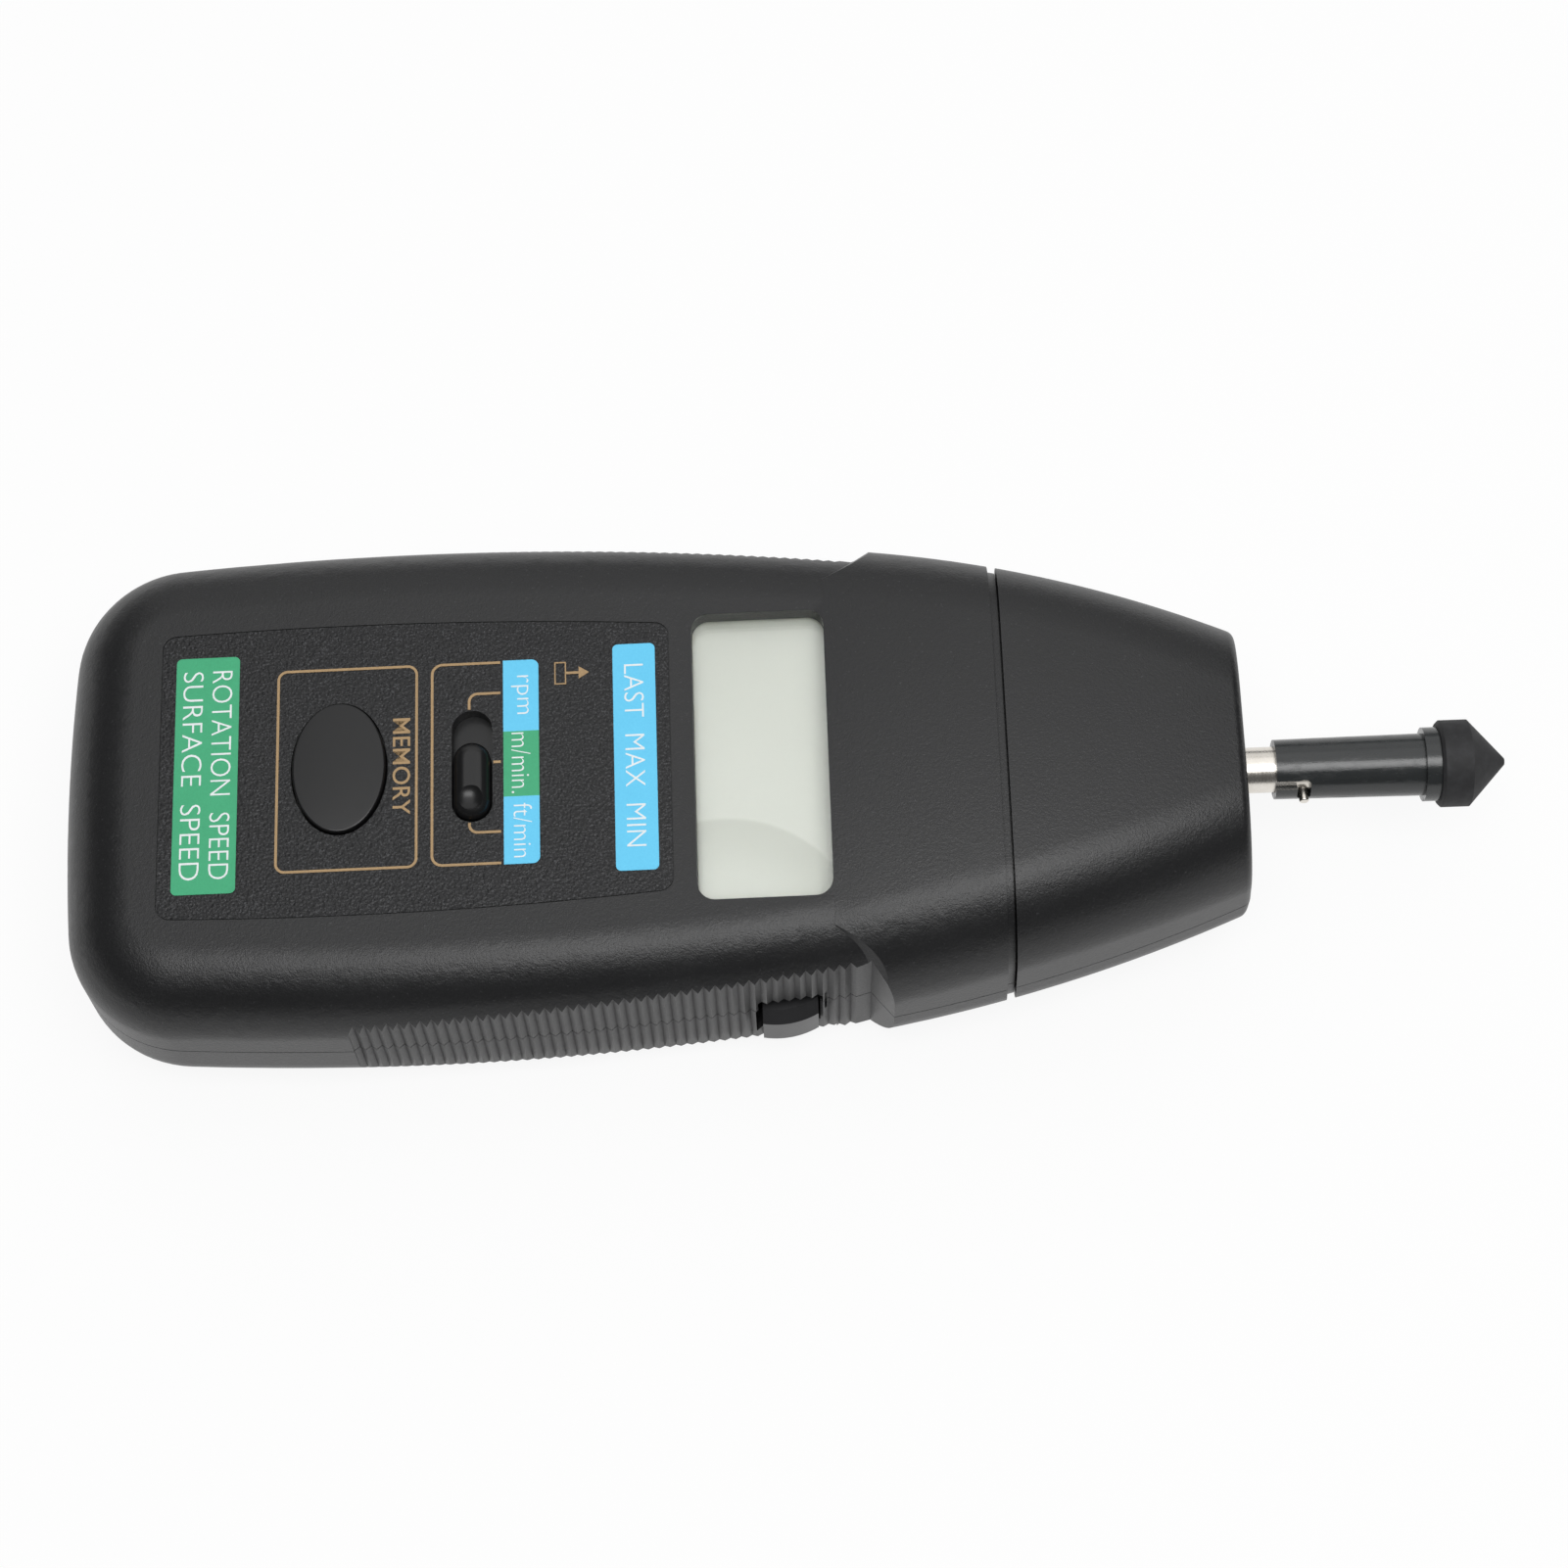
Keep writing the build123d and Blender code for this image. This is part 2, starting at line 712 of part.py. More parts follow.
# rear_cover: back half of the handle and shoulder with the cell bay
with BuildPart() as rear_cover:
    add(body_outer.part)
    add(body_hollow, mode=Mode.SUBTRACT)
    add(neck.part)
    add(case_bosses.part)
    split(bisect_by=rear_top, keep=Keep.BOTTOM)
    add(lip_root.part)
    add(lip.part)
    add(bay_lower.part)
    add(bay_upper.part)
    add(bay_inside.part, mode=Mode.SUBTRACT)
    with BuildSketch(Plane.XY.offset(-wall)):
        with Locations((tail_x - wall, 0)):
            Rectangle(
                door_end + slide_gap + wall,
                2 * (door_half + slide_gap),
                align=(Align.MIN, Align.CENTER),
            )
    extrude(amount=wall + door_recess + door_thickness + fit_gap, mode=Mode.SUBTRACT)
    with BuildSketch(Plane.XY.offset(door_recess + door_thickness / 2 - fit_gap)):
        with Locations((tail_x - wall, 0)):
            Rectangle(
                door_end + slide_gap + wall,
                2 * (door_half + door_tongue + slide_gap),
                align=(Align.MIN, Align.CENTER),
            )
    extrude(amount=door_thickness / 2 + 2 * fit_gap, mode=Mode.SUBTRACT)
    with BuildSketch(Plane.XY.offset(trigger_base - slide_gap)):
        with Locations((tail_x + trigger_hole_start, 0)):
            Rectangle(trigger_hole_length, 2 * handle_half, align=(Align.MIN, Align.MAX))
        with Locations((tail_x + trigger_hole_start, flange_back)):
            Rectangle(trigger_hole_length, handle_half, align=(Align.MIN, Align.MIN), mode=Mode.SUBTRACT)
    extrude(amount=tall, mode=Mode.SUBTRACT)
    with BuildSketch(Plane.XY.offset(flange_base - slide_gap)):
        with Locations((tail_x + flange_start - slide_gap, flange_face - slide_gap)):
            Rectangle(
                flange_length + 2 * slide_gap,
                handle_half - trigger_board_width,
                align=(Align.MIN, Align.MIN),
            )
    extrude(amount=tall, mode=Mode.SUBTRACT)
    with BuildSketch(parting.offset(-slit_height / 2)):
        with Locations((slit_station, -arc_half(grip_half, grip_apex, grip_radius, slit_station))):
            Rectangle(slit_width, 2 * slit_depth)
    extrude(amount=slit_height, mode=Mode.SUBTRACT)
    with BuildSketch(Plane.XY.offset(wall / 2)):
        with Locations(*trigger_post_places):
            Circle(post_radius)
    extrude(amount=trigger_board_height - wall / 2)
    with Locations(*[Plane(origin=(x, y, 0), z_dir=(0, 0, -1)) for x, y in case_screw_places]):
        CounterBoreHole(
            case_screw_radius + screw_gap,
            case_screw_head + screw_gap,
            screw_seat,
            depth=shaft_height,
        )
    with Locations(*[(x, y, trigger_board_height) for x, y in trigger_post_places]):
        Hole(small_screw_radius, depth=trigger_board_height - wall)
rear_cover.part.label = "rear_cover"
export_step(rear_cover.part, "parts/rear_cover.step")

# Head: one hollow form, cut along the same parting plane
head_outer_form = front_form(0, groove_station - wall, nose_station)
head_hollow = front_form(wall, groove_station - 2 * wall, nose_station - nose_wall)
head_core = front_form(wall / 2, groove_station - wall, nose_station - nose_wall / 2)

nose_lean = Plane(
    origin=(tail_x + nose_station, 0, parting_level),
    x_dir=(0, 1, 0),
    z_dir=(1, 0, nose_draft),
)
with BuildPart() as head_outer:
    add(head_outer_form)
    split(bisect_by=nose_lean, keep=Keep.BOTTOM)
    nose_edges = head_outer.faces().sort_by(Axis.X)[-2:].edges()
    fillet(nose_edges.filter_by(lambda e: abs(e.center().Z - parting_level) > wall), nose_edge_radius)
    split(bisect_by=across(head_station), keep=Keep.TOP)

with BuildPart() as head_bosses:
    with Locations(*[(x, y, 0) for x, y in head_screw_places]):
        Cylinder(boss_radius, tall, align=(Align.CENTER, Align.CENTER, Align.MIN))
    add(head_core, mode=Mode.INTERSECT)

with BuildPart() as head_shell:
    add(head_outer.part)
    add(head_hollow, mode=Mode.SUBTRACT)
    add(head_bosses.part)
    with BuildSketch(upright(nose_station - 2 * nose_wall)):
        Circle(shaft_radius + slide_gap)
    extrude(amount=4 * nose_wall, mode=Mode.SUBTRACT)

ear_station = block_start + ear_length
ear_y = block_half + ear_reach / 2
ear_top = shaft_height + block_half_height - ear_thickness - small_head_height
ear_places = [(tail_x + ear_station, side * ear_y) for side in (-1, 1)]
sensor_board_start = shaft_rear - 1.0
sensor_board_length = block_start - sensor_board_start - slide_gap
sensor_post_places = [
    (tail_x + head_station + 2 * spigot_reach, side * (sensor_board_half - post_radius))
    for side in (-1, 1)
]

# head_front_cover: face half of the head with the bosses of the bearing block
with BuildPart() as head_front_cover:
    add(head_shell.part)
    split(bisect_by=parting.offset(parting_gap / 2), keep=Keep.TOP)
    with BuildSketch(Plane.XY.offset(ear_top)):
        with Locations(*ear_places):
            Circle(post_radius)
    extrude(amount=crown_height - 1.5 * wall - ear_top)
    with BuildSketch(Plane.XY):
        with Locations(*head_screw_places):
            Circle(case_screw_radius)
    extrude(amount=crown_height - 3 * wall, mode=Mode.SUBTRACT)
    with BuildSketch(Plane.XY.offset(ear_top)):
        with Locations(*ear_places):
            Circle(small_screw_radius)
    extrude(amount=2 * ear_thickness, mode=Mode.SUBTRACT)
head_front_cover.part.label = "head_front_cover"
export_step(head_front_cover.part, "parts/head_front_cover.step")

# head_rear_cover: back half of the head with the posts of the sensor board
with BuildPart() as head_rear_cover:
    add(head_shell.part)
    split(bisect_by=rear_top, keep=Keep.BOTTOM)
    with BuildSketch(Plane.XY.offset(wall / 2)):
        with Locations(*sensor_post_places):
            Circle(post_radius)
    extrude(amount=sensor_board_height - wall / 2)
    with Locations(*[Plane(origin=(x, y, 0), z_dir=(0, 0, -1)) for x, y in head_screw_places]):
        CounterBoreHole(
            case_screw_radius + screw_gap,
            case_screw_head + screw_gap,
            screw_seat,
            depth=shaft_height,
        )
    with Locations(*[(x, y, sensor_board_height) for x, y in sensor_post_places]):
        Hole(small_screw_radius, depth=sensor_board_height - wall)
head_rear_cover.part.label = "head_rear_cover"
export_step(head_rear_cover.part, "parts/head_rear_cover.step")

# battery_cover: door on the back, its tail end following the handle's rounding
tongue_start = cell_start + cell_radius
door_length = door_end - tongue_start
with BuildPart() as battery_cover:
    with BuildSketch(Plane.XY.offset(door_recess)):
        with Locations((tail_x, 0)):
            Rectangle(door_end, 2 * door_half, align=(Align.MIN, Align.CENTER))
    extrude(amount=door_thickness)
    with BuildSketch(Plane.XY.offset(door_recess + door_thickness / 2)):
        with Locations((tail_x + tongue_start, 0)):
            Rectangle(door_length, 2 * (door_half + door_tongue), align=(Align.MIN, Align.CENTER))
    extrude(amount=door_thickness / 2)
    add(body_handle, mode=Mode.INTERSECT)
    with BuildSketch(Plane.XY.offset(door_recess)):
        with Locations((tail_x + tongue_start + 2 * grip_line_count, 0)):
            with GridLocations(2 * wall, 1, grip_line_count, 1):
                Rectangle(wall / 2, door_half)
    extrude(amount=door_recess, mode=Mode.SUBTRACT)
battery_cover.part.label = "battery_cover"
export_step(battery_cover.part, "parts/battery_cover.step")

# face_label: grained overlay let into the face, open at the button and the slot
with BuildPart() as face_label:
    with BuildSketch(face) as label_plan:
        add(label_sheet)
        with Locations((memory_station, 0)):
            Ellipse(
                memory_width / 2 + memory_gap,
                memory_length / 2 + memory_gap,
                mode=Mode.SUBTRACT,
            )
        with Locations((slot_station, slot_centre)):
            SlotOverall(slot_length, slot_width, rotation=90, mode=Mode.SUBTRACT)
    extrude(amount=-label_thickness)
face_label.part.label = "face_label"
export_step(face_label.part, "parts/face_label.step")

# green_print: name field and the middle third of the units bar
with BuildPart() as green_print:
    with BuildSketch(face):
        with Locations((name_start + name_width / 2, 0)):
            RectangleRounded(name_width, 2 * name_half, name_corner)
        with Locations((units_bar_start, units_split_lower)):
            Rectangle(
                units_bar_width,
                units_split_upper - units_split_lower,
                align=(Align.MIN, Align.MIN),
            )
    extrude(amount=print_thickness)
green_print.part.label = "green_print"
export_step(green_print.part, "parts/green_print.step")

# blue_print: outer thirds of the units bar and the type bar
with BuildPart() as blue_print:
    with BuildSketch(face):
        with Locations((units_bar_start, 0)):
            Rectangle(2 * units_bar_corner, 2 * units_bar_half, align=(Align.MIN, Align.CENTER))
        with Locations((units_bar_start + units_bar_width / 2, 0)):
            RectangleRounded(units_bar_width, 2 * units_bar_half, units_bar_corner)
        with Locations((units_bar_start, units_split_lower)):
            Rectangle(
                units_bar_width,
                units_split_upper - units_split_lower,
                align=(Align.MIN, Align.MIN),
                mode=Mode.SUBTRACT,
            )
        with Locations((type_bar_start + type_bar_width / 2, 0)):
            RectangleRounded(type_bar_width, 2 * type_bar_half, name_corner)
    extrude(amount=print_thickness)
blue_print.part.label = "blue_print"
export_step(blue_print.part, "parts/blue_print.step")

# gold_print: frames round the button and the slot, leader lines and the pictogram
frame_line = gold_line / 2
frame_open = units_bar_start - gold_line
leg_station = slot_station - gold_line
with BuildPart() as gold_print:
    with BuildSketch(face):
        with Locations((memory_frame_start + memory_frame_width / 2, 0)):
            RectangleRounded(memory_frame_width, 2 * memory_frame_half, frame_corner)
            RectangleRounded(
                memory_frame_width - 2 * gold_line,
                2 * (memory_frame_half - gold_line),
                frame_corner - gold_line,
                mode=Mode.SUBTRACT,
            )
    extrude(amount=print_thickness)
    with BuildSketch(face):
        with BuildLine():
            FilletPolyline(
                (frame_open, memory_frame_half - frame_line),
                (units_frame_start + frame_line, memory_frame_half - frame_line),
                (units_frame_start + frame_line, frame_line - memory_frame_half),
                (frame_open, frame_line - memory_frame_half),
                radius=frame_corner,
            )
        trace(line_width=gold_line)
    extrude(amount=print_thickness)
    for leg_start, leg_end in (
        (slot_top + label_gap, leg_reach),
        (slot_bottom - label_gap, -leg_reach),
    ):
        with BuildSketch(face):
            with BuildLine():
                FilletPolyline(
                    (leg_station, leg_start),
                    (leg_station, leg_end),
                    (frame_open, leg_end),
                    radius=leg_corner,
                )
            trace(line_width=gold_line)
        extrude(amount=print_thickness)
    with BuildSketch(face):
        with Locations((frame_open, 0)):
            Rectangle(
                frame_open - slot_station - slot_width / 2 - label_gap,
                gold_line,
                align=(Align.MAX, Align.CENTER),
            )
        with Locations((icon_start + icon_width / 2, icon_y)):
            Rectangle(icon_width, icon_height)
            Rectangle(icon_width - gold_line, icon_height - gold_line, mode=Mode.SUBTRACT)
        with Locations((icon_start + icon_width, icon_y)):
            Rectangle(arrow_length - arrow_head, gold_line, align=(Align.MIN, Align.CENTER))
        with BuildLine():
            Polyline(
                (icon_start + icon_width + arrow_length - arrow_head, icon_y - arrow_half),
                (icon_start + icon_width + arrow_length, icon_y),
                (icon_start + icon_width + arrow_length - arrow_head, icon_y + arrow_half),
                close=True,
            )
        make_face()
    extrude(amount=print_thickness)
gold_print.part.label = "gold_print"
export_step(gold_print.part, "parts/gold_print.step")

# display_window: clear lens under the opening
with BuildPart() as display_window:
    with BuildSketch(face.offset(-lens_depth)):
        with Locations((lens_mid, display_offset)):
            RectangleRounded(lens_length, 2 * lens_half, display_corner)
    extrude(amount=-lens_thickness)
display_window.part.label = "display_window"
export_step(display_window.part, "parts/display_window.step")

# lcd_panel and the frame that holds it over the board
lcd_top = lens_depth + lens_thickness + fit_gap
lcd_under = lcd_top + lcd_thickness
lcd_length = lens_length + lcd_margin
with BuildPart() as lcd_panel:
    with BuildSketch(face.offset(-lcd_top)):
        with Locations((lens_mid, display_offset)):
            Rectangle(lcd_length, 2 * lens_half)
    extrude(amount=-lcd_thickness)
lcd_panel.part.label = "lcd_panel"
export_step(lcd_panel.part, "parts/lcd_panel.step")

with BuildPart() as lcd_frame:
    with BuildSketch(face.offset(-lcd_top)):
        with Locations((lens_mid, display_offset)):
            Rectangle(lcd_length + 2 * lcd_frame_wall, 2 * (lens_half + lcd_frame_wall))
    extrude(amount=lcd_top - board_depth)
    with BuildSketch(face.offset(-lcd_top)):
        with Locations((lens_mid, display_offset)):
            Rectangle(lcd_length + 2 * fit_gap, 2 * (lens_half + fit_gap))
    extrude(amount=-lcd_thickness, mode=Mode.SUBTRACT)
    with BuildSketch(face.offset(-lcd_top)):
        with Locations((lens_mid, display_offset)):
            Rectangle(lcd_length, 2 * (zebra_half + lcd_frame_wall))
    extrude(amount=-board_depth, mode=Mode.SUBTRACT)
lcd_frame.part.label = "lcd_frame"
export_step(lcd_frame.part, "parts/lcd_frame.step")

with BuildPart() as zebra_strips:
    with BuildSketch(face.offset(-lcd_under)):
        with Locations((lens_mid, display_offset)):
            with GridLocations(lcd_length - 2 * zebra_width, 1, 2, 1):
                Rectangle(zebra_width, 2 * zebra_half)
    extrude(amount=lcd_under - board_depth)
zebra_strips.part.label = "zebra_strips"
export_step(zebra_strips.part, "parts/zebra_strips.step")

# memory_button with its plunger, and the tact switch under it
flange_depth = wall + fit_gap
stem_end = board_depth - memory_switch_height - memory_travel - slide_gap
dome_radius = ((memory_length / 2) ** 2 + memory_dome**2) / (2 * memory_dome)
with BuildPart() as memory_button:
    with BuildSketch(face.offset(-flange_depth)):
        with Locations((memory_station, 0)):
            Ellipse(memory_width / 2, memory_length / 2)
    extrude(amount=flange_depth + memory_proud + memory_dome)
    dome_centre = face.from_local_coords((memory_station, 0, memory_proud + memory_dome - dome_radius))
    with Locations(dome_centre):
        Sphere(dome_radius, mode=Mode.INTERSECT)
    fillet(memory_button.faces().sort_by(Axis.Z)[-1].edges(), memory_proud / 2)
    with BuildSketch(face.offset(-flange_depth)):
        with Locations((memory_station, 0)):
            Ellipse(memory_width / 2 + button_flange, memory_length / 2 + button_flange)
    extrude(amount=-flange_thickness)
    with BuildSketch(face.offset(-flange_depth - flange_thickness)):
        with Locations((memory_station, 0)):
            Circle(stem_radius)
    extrude(amount=flange_depth + flange_thickness - stem_end)
memory_button.part.label = "memory_button"
export_step(memory_button.part, "parts/memory_button.step")

with BuildPart() as memory_plunger:
    with BuildSketch(face.offset(-stem_end)):
        with Locations((memory_station, 0)):
            Circle(memory_plunger_radius)
    extrude(amount=stem_end + memory_travel + slide_gap - board_depth)
memory_plunger.part.label = "memory_plunger"
export_step(memory_plunger.part, "parts/memory_plunger.step")

with BuildPart() as memory_switch:
    with BuildSketch(face.offset(-board_depth)):
        with Locations((memory_station, 0)):
            Rectangle(memory_switch_side, memory_switch_side)
            Circle(memory_plunger_radius + fit_gap, mode=Mode.SUBTRACT)
    extrude(amount=memory_switch_height)
memory_switch.part.label = "memory_switch"
export_step(memory_switch.part, "parts/memory_switch.step")

# mode_knob with a plate that closes the slot at every setting, its lever and the slide switch
knob_round = knob_width / 2 - slide_gap
with BuildPart() as mode_knob:
    with BuildSketch(face.offset(-flange_depth)):
        with Locations((slot_station, knob_centre)):
            SlotOverall(knob_length, knob_width, rotation=90)
    extrude(amount=flange_depth + knob_proud)
    fillet(mode_knob.faces().sort_by(Axis.Z)[-1].edges(), min(knob_round, knob_proud))
    dish_y = knob_top - knob_length + knob_width / 2
    with Locations(face.from_local_coords((slot_station, dish_y, knob_proud + dish_radius - dish_depth))):
        Sphere(dish_radius, mode=Mode.SUBTRACT)
    with BuildSketch(face.offset(-flange_depth)):
        with Locations((slot_station, slot_centre - knob_travel / 2)):
            Rectangle(
                knob_width + 2 * knob_flange_margin,
                slot_length + knob_travel + 2 * shutter_margin,
            )
    extrude(amount=-flange_thickness)
mode_knob.part.label = "mode_knob"
export_step(mode_knob.part, "parts/mode_knob.step")

switch_top = board_depth - mode_switch_height
lever_end = switch_top + mode_switch_height / 2
with BuildPart() as mode_lever:
    with BuildSketch(face.offset(-flange_depth - flange_thickness)):
        with Locations((slot_station, knob_centre)):
            Rectangle(lever_side, lever_side)
    extrude(amount=flange_depth + flange_thickness - lever_end)
mode_lever.part.label = "mode_lever"
export_step(mode_lever.part, "parts/mode_lever.step")

with BuildPart() as mode_switch:
    with BuildSketch(face.offset(-board_depth)):
        with Locations((slot_station, slot_centre)):
            Rectangle(mode_switch_width, mode_switch_length)
    extrude(amount=mode_switch_height)
    with BuildSketch(face.offset(-switch_top)):
        with Locations((slot_station, knob_centre + knob_travel / 2)):
            Rectangle(lever_side + 2 * slide_gap, lever_side + knob_travel + 2 * slide_gap)
    extrude(amount=switch_top - lever_end - slide_gap, mode=Mode.SUBTRACT)
mode_switch.part.label = "mode_switch"
export_step(mode_switch.part, "parts/mode_switch.step")

# main_board, its screws, processor and small parts
with BuildPart() as main_board:
    with BuildSketch(face.offset(-board_depth)):
        with Locations(((board_start + board_end) / 2, 0)):
            Rectangle(board_end - board_start, 2 * board_half)
        with Locations(*board_post_places):
            Circle(small_screw_radius + screw_gap, mode=Mode.SUBTRACT)
    extrude(amount=-board_thickness)
    with Locations(*[(x, y, 0) for x, y in case_screw_places]):
        Cylinder(
            boss_radius + 2 * slide_gap,
            tall,
            align=(Align.CENTER, Align.CENTER, Align.MIN),
            mode=Mode.SUBTRACT,
        )
main_board.part.label = "main_board"
export_step(main_board.part, "parts/main_board.step")

with BuildPart() as board_screws:
    with BuildSketch(face.offset(-board_under)):
        with Locations(*board_post_places):
            Circle(small_screw_head)
    extrude(amount=-small_head_height)
    with BuildSketch(face.offset(-board_under)):
        with Locations(*board_post_places):
            Circle(small_screw_radius - print_thickness)
    extrude(amount=board_under - 3 * wall)
board_screws.part.label = "board_screws"
export_step(board_screws.part, "parts/board_screws.step")

with BuildPart() as main_chip:
    with BuildSketch(face.offset(-board_under)):
        with Locations((chip_station, 0)):
            Rectangle(chip_side, chip_side)
    extrude(amount=-chip_height)
    with BuildSketch(face.offset(-board_under)):
        with Locations((chip_station, 0)):
            with GridLocations(1, chip_side / chip_pins, 1, chip_pins):
                Rectangle(chip_side + 2 * flange_thickness, chip_side / chip_pins / 2)
            with GridLocations(chip_side / chip_pins, 1, chip_pins, 1):
                Rectangle(chip_side / chip_pins / 2, chip_side + 2 * flange_thickness)
    extrude(amount=-chip_height / 3)
main_chip.part.label = "main_chip"
export_step(main_chip.part, "parts/main_chip.step")

with BuildPart() as board_parts:
    with BuildSketch(face.offset(-board_under)):
        with Locations((chip_station - chip_side, 0)):
            with GridLocations(small_part_pitch, small_part_pitch, 2, 8):
                Rectangle(small_part_length, small_part_width)
        with Locations((chip_station + chip_side, 0)):
            with GridLocations(small_part_pitch, small_part_pitch, 1, 6):
                Rectangle(small_part_length, small_part_width)
    extrude(amount=-small_part_height)
board_parts.part.label = "board_parts"
export_step(board_parts.part, "parts/board_parts.step")

with BuildPart() as capacitors:
    with BuildSketch(face.offset(-board_under)):
        with Locations((display_mid, chip_side)):
            with GridLocations(chip_side, 1, 2, 1):
                Circle(capacitor_radius)
    extrude(amount=-capacitor_height)
    fillet(capacitors.faces().sort_by(Axis.Z)[0].edges(), line_width)
capacitors.part.label = "capacitors"
export_step(capacitors.part, "parts/capacitors.step")

# measure_button on the flank, its plunger, switch, board and screws
with BuildPart() as measure_button:
    with BuildSketch(Plane.XY.offset(trigger_base)):
        with BuildLine():
            tail_corner = (tail_x + trigger_start, -trigger_out + print_thickness)
            head_corner = (tail_x + trigger_end, -trigger_out + parting_gap + lip_wall)
            crest = (tail_x + trigger_crest, -trigger_out - print_thickness)
            ThreePointArc(tail_corner, crest, head_corner)
            Polyline(
                head_corner,
                (tail_x + trigger_end, flange_face),
                (tail_x + trigger_start, flange_face),
                tail_corner,
            )
        make_face()
    extrude(amount=trigger_top - trigger_base)
    outer_top = measure_button.faces().sort_by(Axis.Z)[-1].edges().sort_by(Axis.Y)[0]
    chamfer(outer_top, trigger_chamfer)
    with BuildSketch(Plane.XY.offset(flange_base)):
        with Locations((tail_x + flange_start, flange_face)):
            Rectangle(flange_length, flange_thickness, align=(Align.MIN, Align.MIN))
    extrude(amount=trigger_top - flange_base)
measure_button.part.label = "measure_button"
export_step(measure_button.part, "parts/measure_button.step")

trigger_board_top = trigger_board_height + lip_wall
trigger_switch_y = trigger_board_edge + flange_thickness
trigger_axis_height = trigger_board_top + trigger_switch_height / 2
plunger_reach = trigger_switch_y + trigger_travel + flange_thickness - flange_back
with BuildPart() as measure_plunger:
    with BuildSketch(
        Plane(
            origin=(tail_x + trigger_station, flange_back, trigger_axis_height),
            x_dir=(1, 0, 0),
            z_dir=(0, 1, 0),
        )
    ):
        Circle(trigger_plunger_radius)
    extrude(amount=plunger_reach)
measure_plunger.part.label = "measure_plunger"
export_step(measure_plunger.part, "parts/measure_plunger.step")

with BuildPart() as measure_switch:
    with BuildSketch(Plane.XY.offset(trigger_board_top)):
        with Locations((tail_x + trigger_station, trigger_switch_y)):
            Rectangle(trigger_width - lip_rise, trigger_switch_depth, align=(Align.CENTER, Align.MIN))
    extrude(amount=trigger_switch_height)
    with BuildSketch(
        Plane(
            origin=(tail_x + trigger_station, trigger_switch_y, trigger_axis_height),
            x_dir=(1, 0, 0),
            z_dir=(0, 1, 0),
        )
    ):
        Circle(trigger_plunger_radius + fit_gap)
    extrude(amount=2 * trigger_travel + flange_thickness + slide_gap, mode=Mode.SUBTRACT)
measure_switch.part.label = "measure_switch"
export_step(measure_switch.part, "parts/measure_switch.step")

with BuildPart() as switch_board:
    with BuildSketch(Plane.XY.offset(trigger_board_height)):
        with Locations((tail_x + trigger_board_start, trigger_board_edge)):
            Rectangle(trigger_board_length, trigger_board_width, align=(Align.MIN, Align.MIN))
        with Locations(*trigger_post_places):
            Circle(small_screw_radius + screw_gap, mode=Mode.SUBTRACT)
    extrude(amount=lip_wall)
switch_board.part.label = "switch_board"
export_step(switch_board.part, "parts/switch_board.step")

with BuildPart() as switch_screws:
    with BuildSketch(Plane.XY.offset(trigger_board_top)):
        with Locations(*trigger_post_places):
            Circle(small_screw_head)
    extrude(amount=small_head_height)
    with BuildSketch(Plane.XY.offset(trigger_board_top)):
        with Locations(*trigger_post_places):
            Circle(small_screw_radius - print_thickness)
    extrude(amount=-trigger_board_height / 2)
switch_screws.part.label = "switch_screws"
export_step(switch_screws.part, "parts/switch_screws.step")

# Cells side by side, alternately turned round
cell_x = tail_x + cell_start
for index in range(4):
    side = index - 1.5
    turned = index % 2
    with BuildPart() as battery_cell:
        nub_end = cell_nub_length if turned else 0
        axis = Plane(
            origin=(cell_x + nub_end, side * cell_pitch, cell_height), x_dir=(0, 1, 0), z_dir=(1, 0, 0)
        )
        with BuildSketch(axis):
            Circle(cell_radius)
        extrude(amount=cell_length - cell_nub_length)
        rims = battery_cell.edges().filter_by(GeomType.CIRCLE)
        fillet(rims, line_width)
        with BuildSketch(axis.offset(-cell_nub_length if turned else cell_length - cell_nub_length)):
            Circle(cell_nub_radius)
        extrude(amount=cell_nub_length)
    battery_cell.part.label = f"battery_cell_{index + 1}"
    export_step(battery_cell.part, f"parts/battery_cell_{index + 1}.step")

# contact_plates at both ends, each with the raised contacts for the nubs
plate_tail = tail_x + bay_start
plate_head = tail_x + bay_end
with BuildPart() as contact_plates:
    for x, direction in ((plate_tail, 1), (plate_head, -1)):
        wide_pair = direction < 0
        groups = ((-1.5,), (-0.5, 0.5), (1.5,)) if wide_pair else ((-1.5, -0.5), (0.5, 1.5))
        for group in groups:
            middle = sum(group) / len(group)
            spread = (group[-1] - group[0]) * cell_pitch + plate_side
            with BuildSketch(Plane(origin=(x, 0, cell_height), x_dir=(0, 1, 0), z_dir=(direction, 0, 0))):
                with Locations((middle * cell_pitch, 0)):
                    Rectangle(spread, plate_side)
            extrude(amount=plate_thickness)
    nub_planes = [
        Plane(
            origin=((plate_tail if index % 2 else plate_head), (index - 1.5) * cell_pitch, cell_height),
            x_dir=(0, 1, 0),
            z_dir=((1 if index % 2 else -1), 0, 0),
        )
        for index in range(4)
    ]
    with BuildSketch(*nub_planes):
        Circle(cell_nub_radius)
    extrude(amount=plate_thickness + contact_space)
contact_plates.part.label = "contact_plates"
export_step(contact_plates.part, "parts/contact_plates.step")

